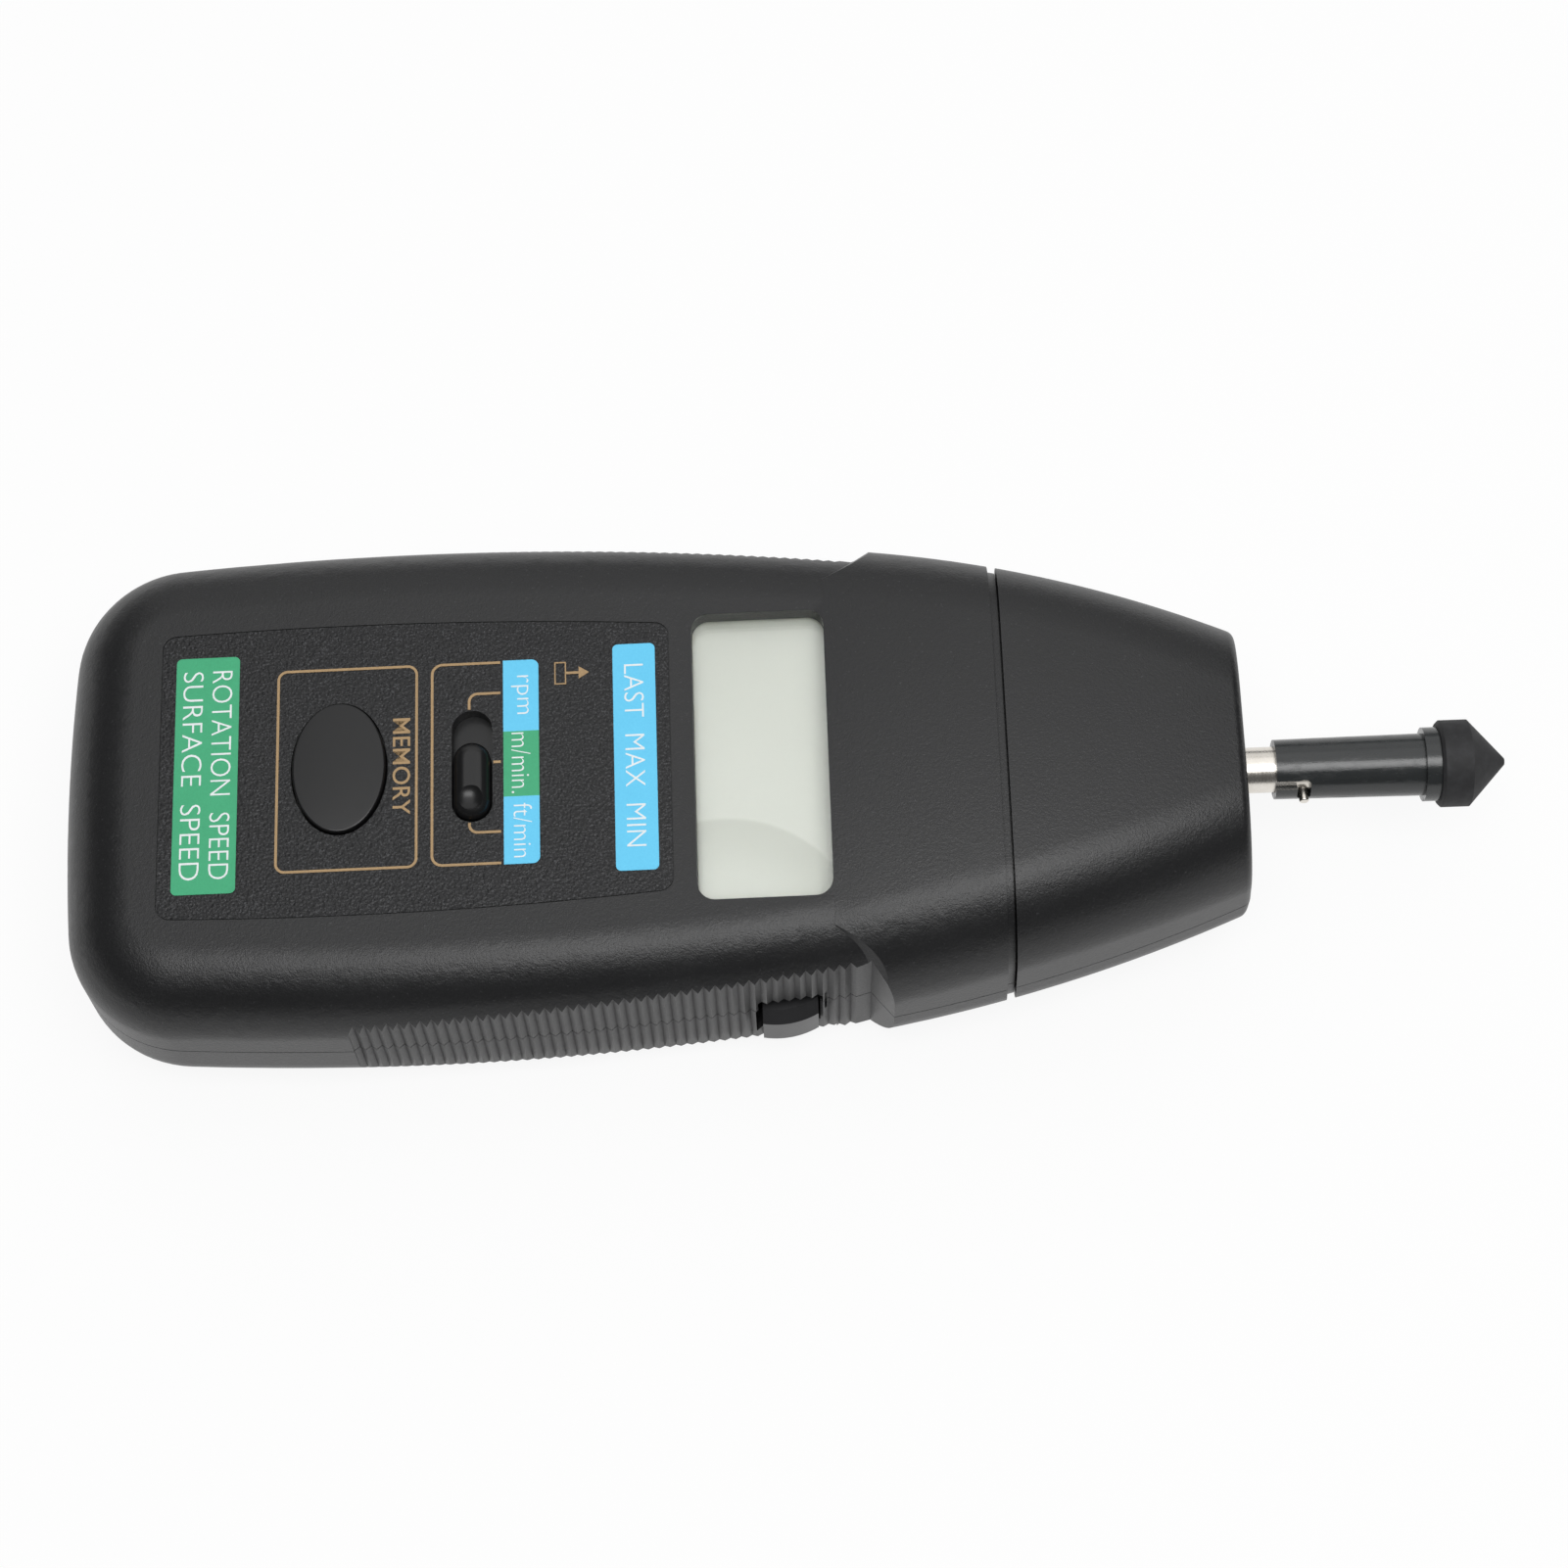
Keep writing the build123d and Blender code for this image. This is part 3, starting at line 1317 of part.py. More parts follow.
# contact_springs press on the flat ends
coil_length = contact_space - spring_wire - 2 * print_thickness
coil_step = coil_length / 2
with BuildPart() as contact_springs:
    for index in range(4):
        turned = index % 2
        start = plate_head if turned else plate_tail
        aim = -1 if turned else 1
        foot = start + aim * (plate_thickness + spring_wire / 2 + print_thickness)
        with BuildLine() as coil:
            Helix(
                pitch=coil_step,
                height=coil_length,
                radius=spring_radius,
                center=(foot, (index - 1.5) * cell_pitch, cell_height),
                direction=(aim, 0, 0),
            )
        with BuildSketch(Plane(origin=coil.line @ 0, z_dir=coil.line % 0)):
            Circle(spring_wire / 2)
        sweep(path=coil.line, is_frenet=True)
contact_springs.part.label = "contact_springs"
export_step(contact_springs.part, "parts/contact_springs.step")


def turned_part(points, name):
    """Ring about the shaft's axis from its half profile, given as station and radius."""
    with BuildPart() as ring:
        with BuildSketch(Plane.XZ):
            with BuildLine():
                Polyline([(tail_x + s, shaft_height + r) for s, r in points], close=True)
            make_face()
        revolve(axis=Axis((0, 0, shaft_height), (1, 0, 0)))
    ring.part.label = name
    return ring.part


def box_profile(start, end, inner, outer):
    """Half profile of a plain ring."""
    return [(start, inner), (end, inner), (end, outer), (start, outer)]


# shaft: journal in the bearings, then the thicker nose that carries the adapter
shaft_collar = block_start + block_length
bore = journal_radius + fit_gap / 5
pin_plane = Plane(
    origin=(tail_x + pin_station, 0, shaft_height),
    x_dir=(1, 0, 0),
    z_dir=(0, -sin(radians(pin_angle)), cos(radians(pin_angle))),
)
with BuildPart() as shaft:
    with BuildSketch(upright(shaft_rear)):
        Circle(journal_radius)
    extrude(amount=shaft_collar - shaft_rear)
    with BuildSketch(upright(shaft_collar)):
        Circle(shaft_radius)
    extrude(amount=shaft_front - shaft_collar)
    ends = shaft.faces().filter_by(Axis.X).sort_by(Axis.X)
    chamfer(ends[0].edges() + ends[-1].edges(), line_width)
    with BuildSketch(pin_plane.offset(-journal_radius / 2)):
        Circle(pin_diameter / 2 + fit_gap / 5)
    extrude(amount=2 * shaft_radius, mode=Mode.SUBTRACT)
shaft.part.label = "shaft"
export_step(shaft.part, "parts/shaft.step")

with BuildPart() as shaft_pin:
    with BuildSketch(pin_plane.offset(-journal_radius / 2)):
        Circle(pin_diameter / 2)
    extrude(amount=pin_reach + journal_radius / 2)
    fillet(shaft_pin.faces().sort_by(Axis.Y)[0].edges(), pin_diameter / 6)
shaft_pin.part.label = "shaft_pin"
export_step(shaft_pin.part, "parts/shaft_pin.step")

# bearing_block hung from the head's front half by its two ears
with BuildPart() as bearing_block:
    with BuildSketch(upright(block_start)):
        RectangleRounded(2 * block_half, 2 * block_half_height, wall)
    extrude(amount=block_length)
    with BuildSketch(Plane.XY.offset(ear_top)):
        with Locations((tail_x + ear_station, 0)):
            Rectangle(ear_length, 2 * (block_half + ear_reach))
    extrude(amount=-ear_thickness)
    with BuildSketch(upright(block_start)):
        Circle(outer_race_radius - lip_wall)
    extrude(amount=block_length, mode=Mode.SUBTRACT)
    with BuildSketch(upright(block_start), upright(front_bearing_start)):
        Circle(outer_race_radius + fit_gap / 5)
    extrude(amount=bearing_width, mode=Mode.SUBTRACT)
    with BuildSketch(Plane.XY.offset(ear_top)):
        with Locations(*ear_places):
            Circle(small_screw_radius + screw_gap)
    extrude(amount=-ear_thickness, mode=Mode.SUBTRACT)
bearing_block.part.label = "bearing_block"
export_step(bearing_block.part, "parts/bearing_block.step")

with BuildPart() as block_screws:
    with BuildSketch(Plane.XY.offset(ear_top - ear_thickness)):
        with Locations(*ear_places):
            Circle(small_screw_head)
    extrude(amount=-small_head_height)
    with BuildSketch(Plane.XY.offset(ear_top - ear_thickness)):
        with Locations(*ear_places):
            Circle(small_screw_radius - print_thickness)
    extrude(amount=2 * ear_thickness)
block_screws.part.label = "block_screws"
export_step(block_screws.part, "parts/block_screws.step")

# Two ball bearings: outer and inner rings with their grooves
track = ball_diameter / 2 + race_gap
bearing_starts = (block_start, front_bearing_start)
for name, start in zip(("rear", "front"), bearing_starts):
    with BuildPart() as bearing_ring_outer:
        with BuildSketch(upright(start)):
            Circle(outer_race_radius)
            Circle(race_mid + race_step / 2, mode=Mode.SUBTRACT)
        extrude(amount=bearing_width)
        with Locations(upright(start + bearing_width / 2)):
            Torus(race_mid, track, mode=Mode.SUBTRACT)
    bearing_ring_outer.part.label = f"{name}_bearing_outer"
    export_step(bearing_ring_outer.part, f"parts/{name}_bearing_outer.step")
    with BuildPart() as bearing_ring_inner:
        with BuildSketch(upright(start)):
            Circle(race_mid - race_step / 2)
            Circle(bore, mode=Mode.SUBTRACT)
        extrude(amount=bearing_width)
        with Locations(upright(start + bearing_width / 2)):
            Torus(race_mid, track, mode=Mode.SUBTRACT)
    bearing_ring_inner.part.label = f"{name}_bearing_inner"
    export_step(bearing_ring_inner.part, f"parts/{name}_bearing_inner.step")

with BuildPart() as bearing_balls:
    for start in bearing_starts:
        with Locations(upright(start + bearing_width / 2)):
            with PolarLocations(race_mid, ball_count):
                Sphere(ball_diameter / 2)
bearing_balls.part.label = "bearing_balls"
export_step(bearing_balls.part, "parts/bearing_balls.step")

spacer_outer = race_mid - race_step / 2
bearing_spacer = turned_part(
    box_profile(block_start + bearing_width, front_bearing_start, bore, spacer_outer), "bearing_spacer"
)
export_step(bearing_spacer, "parts/bearing_spacer.step")

# Encoder behind the bearings: hub, slotted disc and retaining ring
disc_start = shaft_rear + ring_thickness + 2 * line_width + lip_wall / 2
hub_start = disc_start + disc_thickness
disc_hub = turned_part(
    [
        (hub_start, bore),
        (block_start, bore),
        (block_start, spacer_outer),
        (hub_start + hub_length, spacer_outer),
        (hub_start + hub_length, hub_radius),
        (hub_start, hub_radius),
    ],
    "disc_hub",
)
export_step(disc_hub, "parts/disc_hub.step")

with BuildPart() as encoder_disc:
    with BuildSketch(upright(disc_start)):
        Circle(disc_radius)
        Circle(bore, mode=Mode.SUBTRACT)
        with PolarLocations(disc_radius - disc_slot_length / 2 - line_width, disc_slots):
            Rectangle(disc_slot_length, disc_slot_width, mode=Mode.SUBTRACT)
    extrude(amount=disc_thickness)
encoder_disc.part.label = "encoder_disc"
export_step(encoder_disc.part, "parts/encoder_disc.step")

retaining_ring = turned_part(
    box_profile(disc_start - ring_thickness, disc_start, bore, ring_radius), "retaining_ring"
)
export_step(retaining_ring, "parts/retaining_ring.step")

# sensor_board under the disc, with the slotted sensor astride the disc's rim
sensor_top = sensor_board_height + lip_wall
sensor_width = sensor_slot + 2 * memory_plunger_radius
sensor_middle = disc_start + disc_thickness / 2
with BuildPart() as sensor_board:
    with BuildSketch(Plane.XY.offset(sensor_board_height)):
        with Locations((tail_x + sensor_board_start, 0)):
            Rectangle(sensor_board_length, 2 * sensor_board_half, align=(Align.MIN, Align.CENTER))
        with Locations(*sensor_post_places):
            Circle(small_screw_radius + screw_gap, mode=Mode.SUBTRACT)
    extrude(amount=lip_wall)
sensor_board.part.label = "sensor_board"
export_step(sensor_board.part, "parts/sensor_board.step")

with BuildPart() as optical_sensor:
    with BuildSketch(Plane.XY.offset(sensor_top)):
        with Locations((tail_x + sensor_middle, 0)):
            Rectangle(sensor_width, 2 * stem_radius)
    extrude(amount=shaft_height - hub_radius - line_width - sensor_top)
    with BuildSketch(Plane.XY.offset(sensor_top + lip_wall)):
        with Locations((tail_x + sensor_middle, 0)):
            Rectangle(sensor_slot, 2 * stem_radius)
    extrude(amount=shaft_height, mode=Mode.SUBTRACT)
optical_sensor.part.label = "optical_sensor"
export_step(optical_sensor.part, "parts/optical_sensor.step")

with BuildPart() as sensor_screws:
    with BuildSketch(Plane.XY.offset(sensor_top)):
        with Locations(*sensor_post_places):
            Circle(small_screw_head)
    extrude(amount=small_head_height)
    with BuildSketch(Plane.XY.offset(sensor_top)):
        with Locations(*sensor_post_places):
            Circle(small_screw_radius - print_thickness)
    extrude(amount=-sensor_board_height / 2)
sensor_screws.part.label = "sensor_screws"
export_step(sensor_screws.part, "parts/sensor_screws.step")

# contact_adapter: tapered tube with the bayonet slot, flange and the stub for the tip
entry_angle = pin_angle - bayonet_turn
adapter_bore = shaft_radius + adapter_gap
slot_tail = pin_station - bayonet_width / 2
with BuildPart() as contact_adapter:
    with BuildSketch(Plane.XZ):
        with BuildLine():
            Polyline(
                [
                    (tail_x + s, shaft_height + r)
                    for s, r in (
                        (adapter_station, adapter_bore),
                        (shaft_front + flange_thickness, adapter_bore),
                        (shaft_front + flange_thickness, 0),
                        (tip_station + stub_length, 0),
                        (tip_station + stub_length, stub_diameter / 2),
                        (tip_station, stub_diameter / 2),
                        (tip_station, flange_diameter / 2),
                        (flange_station, flange_diameter / 2),
                        (flange_station, adapter_front_diameter / 2),
                        (adapter_station, adapter_rear_diameter / 2),
                    )
                ],
                close=True,
            )
        make_face()
    revolve(axis=Axis((0, 0, shaft_height), (1, 0, 0)))
    entry_plane = Plane(
        origin=(tail_x + adapter_station, 0, shaft_height),
        x_dir=(1, 0, 0),
        z_dir=(0, -sin(radians(entry_angle)), cos(radians(entry_angle))),
    )
    with BuildSketch(entry_plane.offset(journal_radius - wall)):
        with Locations((-wall, 0)):
            Rectangle(
                slot_tail + bayonet_width / 2 - adapter_station + wall,
                bayonet_entry,
                align=(Align.MIN, Align.CENTER),
            )
    extrude(amount=2 * journal_radius, mode=Mode.SUBTRACT)
    for angle in (entry_angle, pin_angle):
        leg = Plane(
            origin=(tail_x + pin_station, 0, shaft_height),
            x_dir=(1, 0, 0),
            z_dir=(0, -sin(radians(angle)), cos(radians(angle))),
        )
        with BuildSketch(leg.offset(journal_radius - wall)):
            Circle(bayonet_width / 2)
        extrude(amount=2 * journal_radius, mode=Mode.SUBTRACT)
    with BuildSketch(
        Plane(
            origin=(tail_x + pin_station, 0, shaft_height),
            x_dir=(1, 0, 0),
            z_dir=(0, -cos(radians(entry_angle)), -sin(radians(entry_angle))),
        )
    ):
        with Locations((0, journal_radius + flange_thickness)):
            Rectangle(bayonet_width, 2 * journal_radius)
    revolve(
        axis=Axis((0, 0, shaft_height), (1, 0, 0)),
        revolution_arc=bayonet_turn,
        mode=Mode.SUBTRACT,
    )
contact_adapter.part.label = "contact_adapter"
export_step(contact_adapter.part, "parts/contact_adapter.step")

# rubber_tip pressed on the stub
tip_radius = tip_diameter / 2
cone_end = tip_station + tip_cylinder + tip_cone
with BuildPart() as rubber_tip:
    with BuildSketch(Plane.XZ):
        with BuildLine():
            Polyline(
                [
                    (tail_x + s, shaft_height + r)
                    for s, r in (
                        (tip_station, stub_diameter / 2),
                        (tip_station + stub_length, stub_diameter / 2),
                        (tip_station + stub_length, 0),
                        (cone_end, 0),
                        (cone_end, tip_end_radius),
                        (tip_station + tip_cylinder, tip_radius),
                        (tip_station + tip_chamfer, tip_radius),
                        (tip_station, tip_radius - tip_chamfer),
                    )
                ],
                close=True,
            )
        make_face()
    revolve(axis=Axis((0, 0, shaft_height), (1, 0, 0)))
rubber_tip.part.label = "rubber_tip"
export_step(rubber_tip.part, "parts/rubber_tip.step")

# Screws from the back, sunk in their counterbores
for name, places in (("case_screws", case_screw_places), ("head_screws", head_screw_places)):
    with BuildPart() as screws:
        with BuildSketch(Plane.XY.offset(screw_seat)):
            with Locations(*places):
                Circle(case_screw_head)
        extrude(amount=-parting_gap * stub_length)
        with BuildSketch(Plane.XY.offset(screw_seat)):
            with Locations(*places):
                Circle(case_screw_radius - print_thickness)
        extrude(amount=crown_height - 4 * wall - screw_seat)
    screws.part.label = name
    export_step(screws.part, f"parts/{name}.step")
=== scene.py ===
import json
import math

import bmesh
import bpy
import numpy as np
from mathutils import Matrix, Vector


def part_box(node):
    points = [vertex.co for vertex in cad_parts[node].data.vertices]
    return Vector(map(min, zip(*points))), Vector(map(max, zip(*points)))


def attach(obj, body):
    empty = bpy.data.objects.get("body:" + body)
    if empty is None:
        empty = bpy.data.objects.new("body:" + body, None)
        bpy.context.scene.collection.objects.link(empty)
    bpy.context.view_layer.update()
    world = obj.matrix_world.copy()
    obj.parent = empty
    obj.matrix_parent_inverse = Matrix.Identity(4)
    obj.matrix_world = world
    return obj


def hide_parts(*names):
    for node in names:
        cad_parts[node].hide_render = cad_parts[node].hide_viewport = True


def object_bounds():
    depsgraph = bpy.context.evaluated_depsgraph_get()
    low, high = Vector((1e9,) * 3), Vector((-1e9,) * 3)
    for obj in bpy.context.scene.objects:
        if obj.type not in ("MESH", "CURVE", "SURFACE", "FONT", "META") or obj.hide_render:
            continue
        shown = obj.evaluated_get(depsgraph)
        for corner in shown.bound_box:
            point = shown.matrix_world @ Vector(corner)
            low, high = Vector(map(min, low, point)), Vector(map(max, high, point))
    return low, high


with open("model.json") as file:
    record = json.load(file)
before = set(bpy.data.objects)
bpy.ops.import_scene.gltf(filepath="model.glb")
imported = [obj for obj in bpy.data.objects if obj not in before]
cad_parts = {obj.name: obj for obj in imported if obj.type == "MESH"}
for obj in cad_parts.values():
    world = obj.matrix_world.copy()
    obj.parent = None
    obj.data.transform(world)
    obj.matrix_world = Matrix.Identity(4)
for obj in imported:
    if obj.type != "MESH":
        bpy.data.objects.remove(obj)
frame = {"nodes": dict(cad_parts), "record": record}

nodes = frame["nodes"]
cad_box = [list(corner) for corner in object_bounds()]

MM = 0.001

# Stations are distances in mm from a datum just behind the tail
DATUM_BEHIND_TAIL = 1.1 * MM
DATUM = cad_box[0][0] - DATUM_BEHIND_TAIL

# The face rises evenly from the tail toward the head
FACE_TILT = math.atan(0.025)
FACE_HEIGHT_AT_DATUM = 31.4 * MM

# Points this close are one point, and an edge this short is dropped
SAME_POINT = 0.002 * MM
NO_LENGTH = 0.001 * MM

# In degrees: faces within the first angle are one flat face, and faces that meet at more than
# the second show an edge
FLAT_ANGLE = 0.08
EDGE_ANGLE = 28.0

# Font size over the height of a line, and half the thickness of printed letters
SIZE_OVER_HEIGHT = 1.38
INK_HALF_THICKNESS = 0.01 * MM

# Side of the photograph and the camera's focal length in pixels, and the sensor's width in mm
FRAME_PIXELS = 1601.0
FOCAL_PIXELS = 3850.0
SENSOR_WIDTH = 36.0

# Strength of the world on the object, where 1 is white
ROOM_LIGHT = 0.1

# Sockets of a Mix node that mixes colours
FIRST_COLOUR, SECOND_COLOUR, MIXED_COLOUR = 6, 7, 2


class Wire:
    """One socket of a material's nodes. Arithmetic on it adds Math nodes."""

    def __init__(self, tree, socket):
        self.tree = tree
        self.socket = socket

    def add(self, kind, settings=None, inputs=None, output=0):
        """A node of this kind: its settings first, then the values or wires of its sockets."""
        node = self.tree.nodes.new(kind)
        for key, value in (settings or {}).items():
            setattr(node, key, value)
        for key, value in (inputs or {}).items():
            if isinstance(value, Wire):
                self.tree.links.new(value.socket, node.inputs[key])
            else:
                node.inputs[key].default_value = value
        return Wire(self.tree, node.outputs[output])

    def calc(self, operation, first, second=None, third=None):
        """A Math node on up to three numbers or wires."""
        values = {i: v for i, v in enumerate((first, second, third)) if v is not None}
        return self.add("ShaderNodeMath", {"operation": operation}, values)

    def __add__(self, other):
        return self.calc("ADD", self, other)

    __radd__ = __add__

    def __sub__(self, other):
        return self.calc("SUBTRACT", self, other)

    def __rsub__(self, other):
        return self.calc("SUBTRACT", other, self)

    def __mul__(self, other):
        return self.calc("MULTIPLY", self, other)

    __rmul__ = __mul__

    def __truediv__(self, other):
        return self.calc("DIVIDE", self, other)

    def __rtruediv__(self, other):
        return self.calc("DIVIDE", other, self)

    def __pow__(self, other):
        return self.calc("POWER", self, other)

    def greater(self, other):
        """The larger of the two at each point."""
        return self.calc("MAXIMUM", self, other)

    def step(self, low, high):
        """0 below low, 1 above high, smooth between them."""
        return self.add(
            "ShaderNodeMapRange",
            {"interpolation_type": "SMOOTHSTEP"},
            {"Value": self, "From Min": low, "From Max": high},
        )

    def mixed(self, first, second):
        """Colour between two colours, with this wire as the share of the second."""
        ends = [c if isinstance(c, Wire) else (*c, 1.0) for c in (first, second)]
        inputs = {"Factor": self, FIRST_COLOUR: ends[0], SECOND_COLOUR: ends[1]}
        return self.add("ShaderNodeMix", {"data_type": "RGBA"}, inputs, MIXED_COLOUR)


class Finish:
    """A material under construction, with wires for the place on the object."""

    def __init__(self, name):
        self.material = bpy.data.materials.new(name)
        self.material.use_nodes = True
        self.tree = self.material.node_tree
        self.tree.nodes.clear()
        coordinates = self.tree.nodes.new("ShaderNodeTexCoord")
        self.place = Wire(self.tree, coordinates.outputs["Object"])
        self.x, self.y, self.z = (
            self.place.add("ShaderNodeSeparateXYZ", {}, {"Vector": self.place}, axis)
            for axis in "XYZ"
        )

    def noise(self, size, detail=2.0, rough=0.5, stretch=(1.0, 1.0, 1.0)):
        """Noise with features of about this size in mm, longer where stretch is above 1."""
        scale = tuple(1.0 / s for s in stretch)
        place = self.place.add("ShaderNodeMapping", {}, {"Vector": self.place, "Scale": scale})
        inputs = {
            "Vector": place,
            "Scale": 1.0 / (size * MM),
            "Detail": detail,
            "Roughness": rough,
        }
        return place.add("ShaderNodeTexNoise", {}, inputs)

    def pits(self, size):
        """Distance to the nearest of points scattered about this many mm apart."""
        inputs = {"Vector": self.place, "Scale": 1.0 / (size * MM)}
        return self.place.add("ShaderNodeTexVoronoi", {"feature": "F1"}, inputs, "Distance")

    def bump(self, height, depth, strength=1.0):
        """Surface relief of a depth in mm from a height wire between 0 and 1."""
        inputs = {"Height": height, "Distance": depth * MM, "Strength": strength}
        return self.place.add("ShaderNodeBump", {}, inputs)

    def close(self, shader):
        """The finished material, showing this shader."""
        output = self.tree.nodes.new("ShaderNodeOutputMaterial")
        self.tree.links.new(shader.socket, output.inputs["Surface"])
        return self.material

    def surface(self, Base_Color, **sockets):
        """Closes the material with a Principled shader; underscores stand for spaces."""
        if isinstance(Base_Color, tuple):
            Base_Color = (*Base_Color, 1.0)
        inputs = {"Base Color": Base_Color}
        inputs.update((key.replace("_", " "), value) for key, value in sockets.items())
        return self.close(self.place.add("ShaderNodeBsdfPrincipled", {}, inputs))


def moulded_shell():
    """Near-black moulded plastic with a fine grain, soft clouding and a little dust."""
    finish = Finish("shell_plastic")
    grain = finish.noise(0.50, 3.0, 0.65)
    fine = finish.noise(0.22, 1.0, 0.5)
    cloud = finish.noise(14.0, 3.0, 0.5)
    dust = finish.noise(0.34, 0.0, 0.5).step(0.76, 0.84)
    clean = (cloud * 0.5 + grain * 0.5).mixed((0.0060, 0.0061, 0.0067), (0.0140, 0.0143, 0.0152))
    return finish.surface(
        Base_Color=(dust * 0.4).mixed(clean, (0.060, 0.061, 0.064)),
        Roughness=0.33 + cloud * 0.05 + grain * 0.08,
        Specular_IOR_Level=0.46,
        Normal=finish.bump(grain * 0.65 + fine * 0.35, 0.080),
    )


def overlay_film():
    """Black overlay film with a pitted surface and fine paler flecks, which are painted glints."""
    finish = Finish("overlay_film")
    grain = finish.noise(0.46, 2.0, 0.6)
    pits = finish.pits(0.50)
    # Paler flecks in the colour: painted glints on the pitted film
    fleck = finish.noise(0.26, 1.0, 0.5).step(0.56, 0.70)
    tone = grain * 0.2 + fleck * 0.8
    return finish.surface(
        Base_Color=tone.mixed((0.003, 0.0032, 0.0036), (0.052, 0.053, 0.057)),
        Roughness=0.32 + grain * 0.14,
        Specular_IOR_Level=0.34,
        Normal=finish.bump(grain * 0.6 + pits * 0.5, 0.14),
    )


def screen_ink(name, pale, deep, depth=0.02):
    """Screen printed ink that follows the film's texture, to a depth in mm."""
    finish = Finish(name)
    grain = finish.noise(0.34, 2.0, 0.6)
    patch = finish.noise(3.0, 2.0, 0.5)
    return finish.surface(
        Base_Color=(grain * 0.7 + patch * 0.3).mixed(deep, pale),
        Roughness=0.46 + grain * 0.12,
        Normal=finish.bump(grain, depth, 0.8),
    )


def smooth_plastic(name, dark, pale, rough):
    """Satin plastic of buttons and small mouldings."""
    finish = Finish(name)
    grain = finish.noise(0.25, 2.0, 0.5)
    cloud = finish.noise(4.0, 2.0, 0.5)
    return finish.surface(
        Base_Color=(cloud * 0.6 + grain * 0.4).mixed(dark, pale),
        Roughness=rough - 0.04 + cloud * 0.08,
        Specular_IOR_Level=0.42,
        Normal=finish.bump(grain, 0.008, 0.8),
    )


def display_panel():
    """
    Pale grey display without figures, with light painted into its colour: painted shade darkens it
    toward its rim and its far end, where its frame shades it, and a painted reflection darkens it
    inside a circle round a point beyond its near end, which shows as a soft arc.
    """
    finish = Finish("display_panel")
    low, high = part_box("display_window")
    middle = (low + high) / 2
    half = (high - low) / 2
    across = ((finish.x - middle.x) / half.x) ** 2.0
    along = ((finish.y - middle.y) / half.y) ** 2.0
    # Painted shade toward the rim, where the frame shades the display
    painted_rim_shade = across.greater(along).step(0.72, 1.0)
    # Painted reflection: darker inside a circle beyond the near end, with a soft arc at its edge
    arc_x = finish.x - (DATUM + 96.0 * MM)
    arc_y = finish.y + 28.5 * MM
    reach = (arc_x * arc_x + arc_y * arc_y) ** 0.5
    inside = 1.0 - reach.step(19.2 * MM, 20.0 * MM)
    painted_reflection_arc = inside * reach.step(8.0 * MM, 20.0 * MM)
    # Painted shade toward the far end
    painted_far_end_shade = finish.y.step(-14.0 * MM, 22.0 * MM)
    # The painted shade and the painted reflection darken the display's colour
    painted_shade_and_reflection = painted_rim_shade * 0.40 + painted_far_end_shade * 0.18 + painted_reflection_arc * 0.30
    fleck = finish.noise(0.12, 1.0, 0.5)
    return finish.surface(
        Base_Color=painted_shade_and_reflection.mixed((1.000, 1.000, 0.915), (0.540, 0.550, 0.460)),
        Roughness=0.45 + fleck * 0.05,
        Specular_IOR_Level=0.2,
    )


def clear_lens():
    """Clear acrylic lens."""
    finish = Finish("clear_lens")
    return finish.surface(
        Base_Color=(0.97, 0.99, 0.985),
        Roughness=finish.noise(9.0, 2.0, 0.5) * 0.01,
        Transmission_Weight=1.0,
        IOR=1.49,
    )


def nickel_plate():
    """Nickel plated steel with faint turning marks round the axis."""
    finish = Finish("nickel_plate")
    rings = finish.noise(0.10, 2.0, 0.5, (1.0, 40.0, 40.0))
    stain = finish.noise(2.5, 3.0, 0.6)
    return finish.surface(
        Base_Color=stain.mixed((0.62, 0.575, 0.51), (0.88, 0.85, 0.80)),
        Metallic=1.0,
        Roughness=0.16 + rings * 0.12 + stain * 0.08,
        Normal=finish.bump(rings, 0.004, 0.5),
    )


def machined_metal(name, dark, pale, rough):
    """Machined or rolled metal with short brushed marks."""
    finish = Finish(name)
    brush = finish.noise(0.12, 2.0, 0.5, (12.0, 1.0, 1.0))
    cloud = finish.noise(5.0, 2.0, 0.5)
    return finish.surface(
        Base_Color=(brush * 0.5 + cloud * 0.5).mixed(dark, pale),
        Metallic=1.0,
        Roughness=rough - 0.05 + brush * 0.1,
        Normal=finish.bump(brush, 0.004, 0.5),
    )


def moulded_rubber():
    """Matt black rubber with a dusty bloom."""
    finish = Finish("moulded_rubber")
    grain = finish.noise(0.20, 3.0, 0.6)
    bloom = finish.noise(1.6, 3.0, 0.6).step(0.35, 0.8)
    return finish.surface(
        Base_Color=(bloom * 0.7 + grain * 0.3).mixed((0.012, 0.012, 0.013), (0.028, 0.0285, 0.031)),
        Roughness=0.62 + grain * 0.15,
        Normal=finish.bump(grain, 0.02, 0.8),
    )


def adapter_plastic():
    """Dark grey engineering plastic, semi-gloss, with drawn streaks along its length."""
    finish = Finish("adapter_plastic")
    streak = finish.noise(0.9, 3.0, 0.6, (16.0, 1.0, 1.0))
    scuff = finish.noise(1.4, 4.0, 0.65, (3.0, 1.0, 1.0)).step(0.45, 0.75)
    grain = finish.noise(0.2, 2.0, 0.5)
    tone = streak * 0.7 + grain * 0.3
    return finish.surface(
        Base_Color=tone.mixed((0.015, 0.0170, 0.0175), (0.034, 0.037, 0.038)),
        Roughness=0.16 + scuff * 0.22 + streak * 0.06,
        Specular_IOR_Level=0.55,
        Normal=finish.bump(streak * 0.6 + grain * 0.4, 0.030, 0.8),
    )


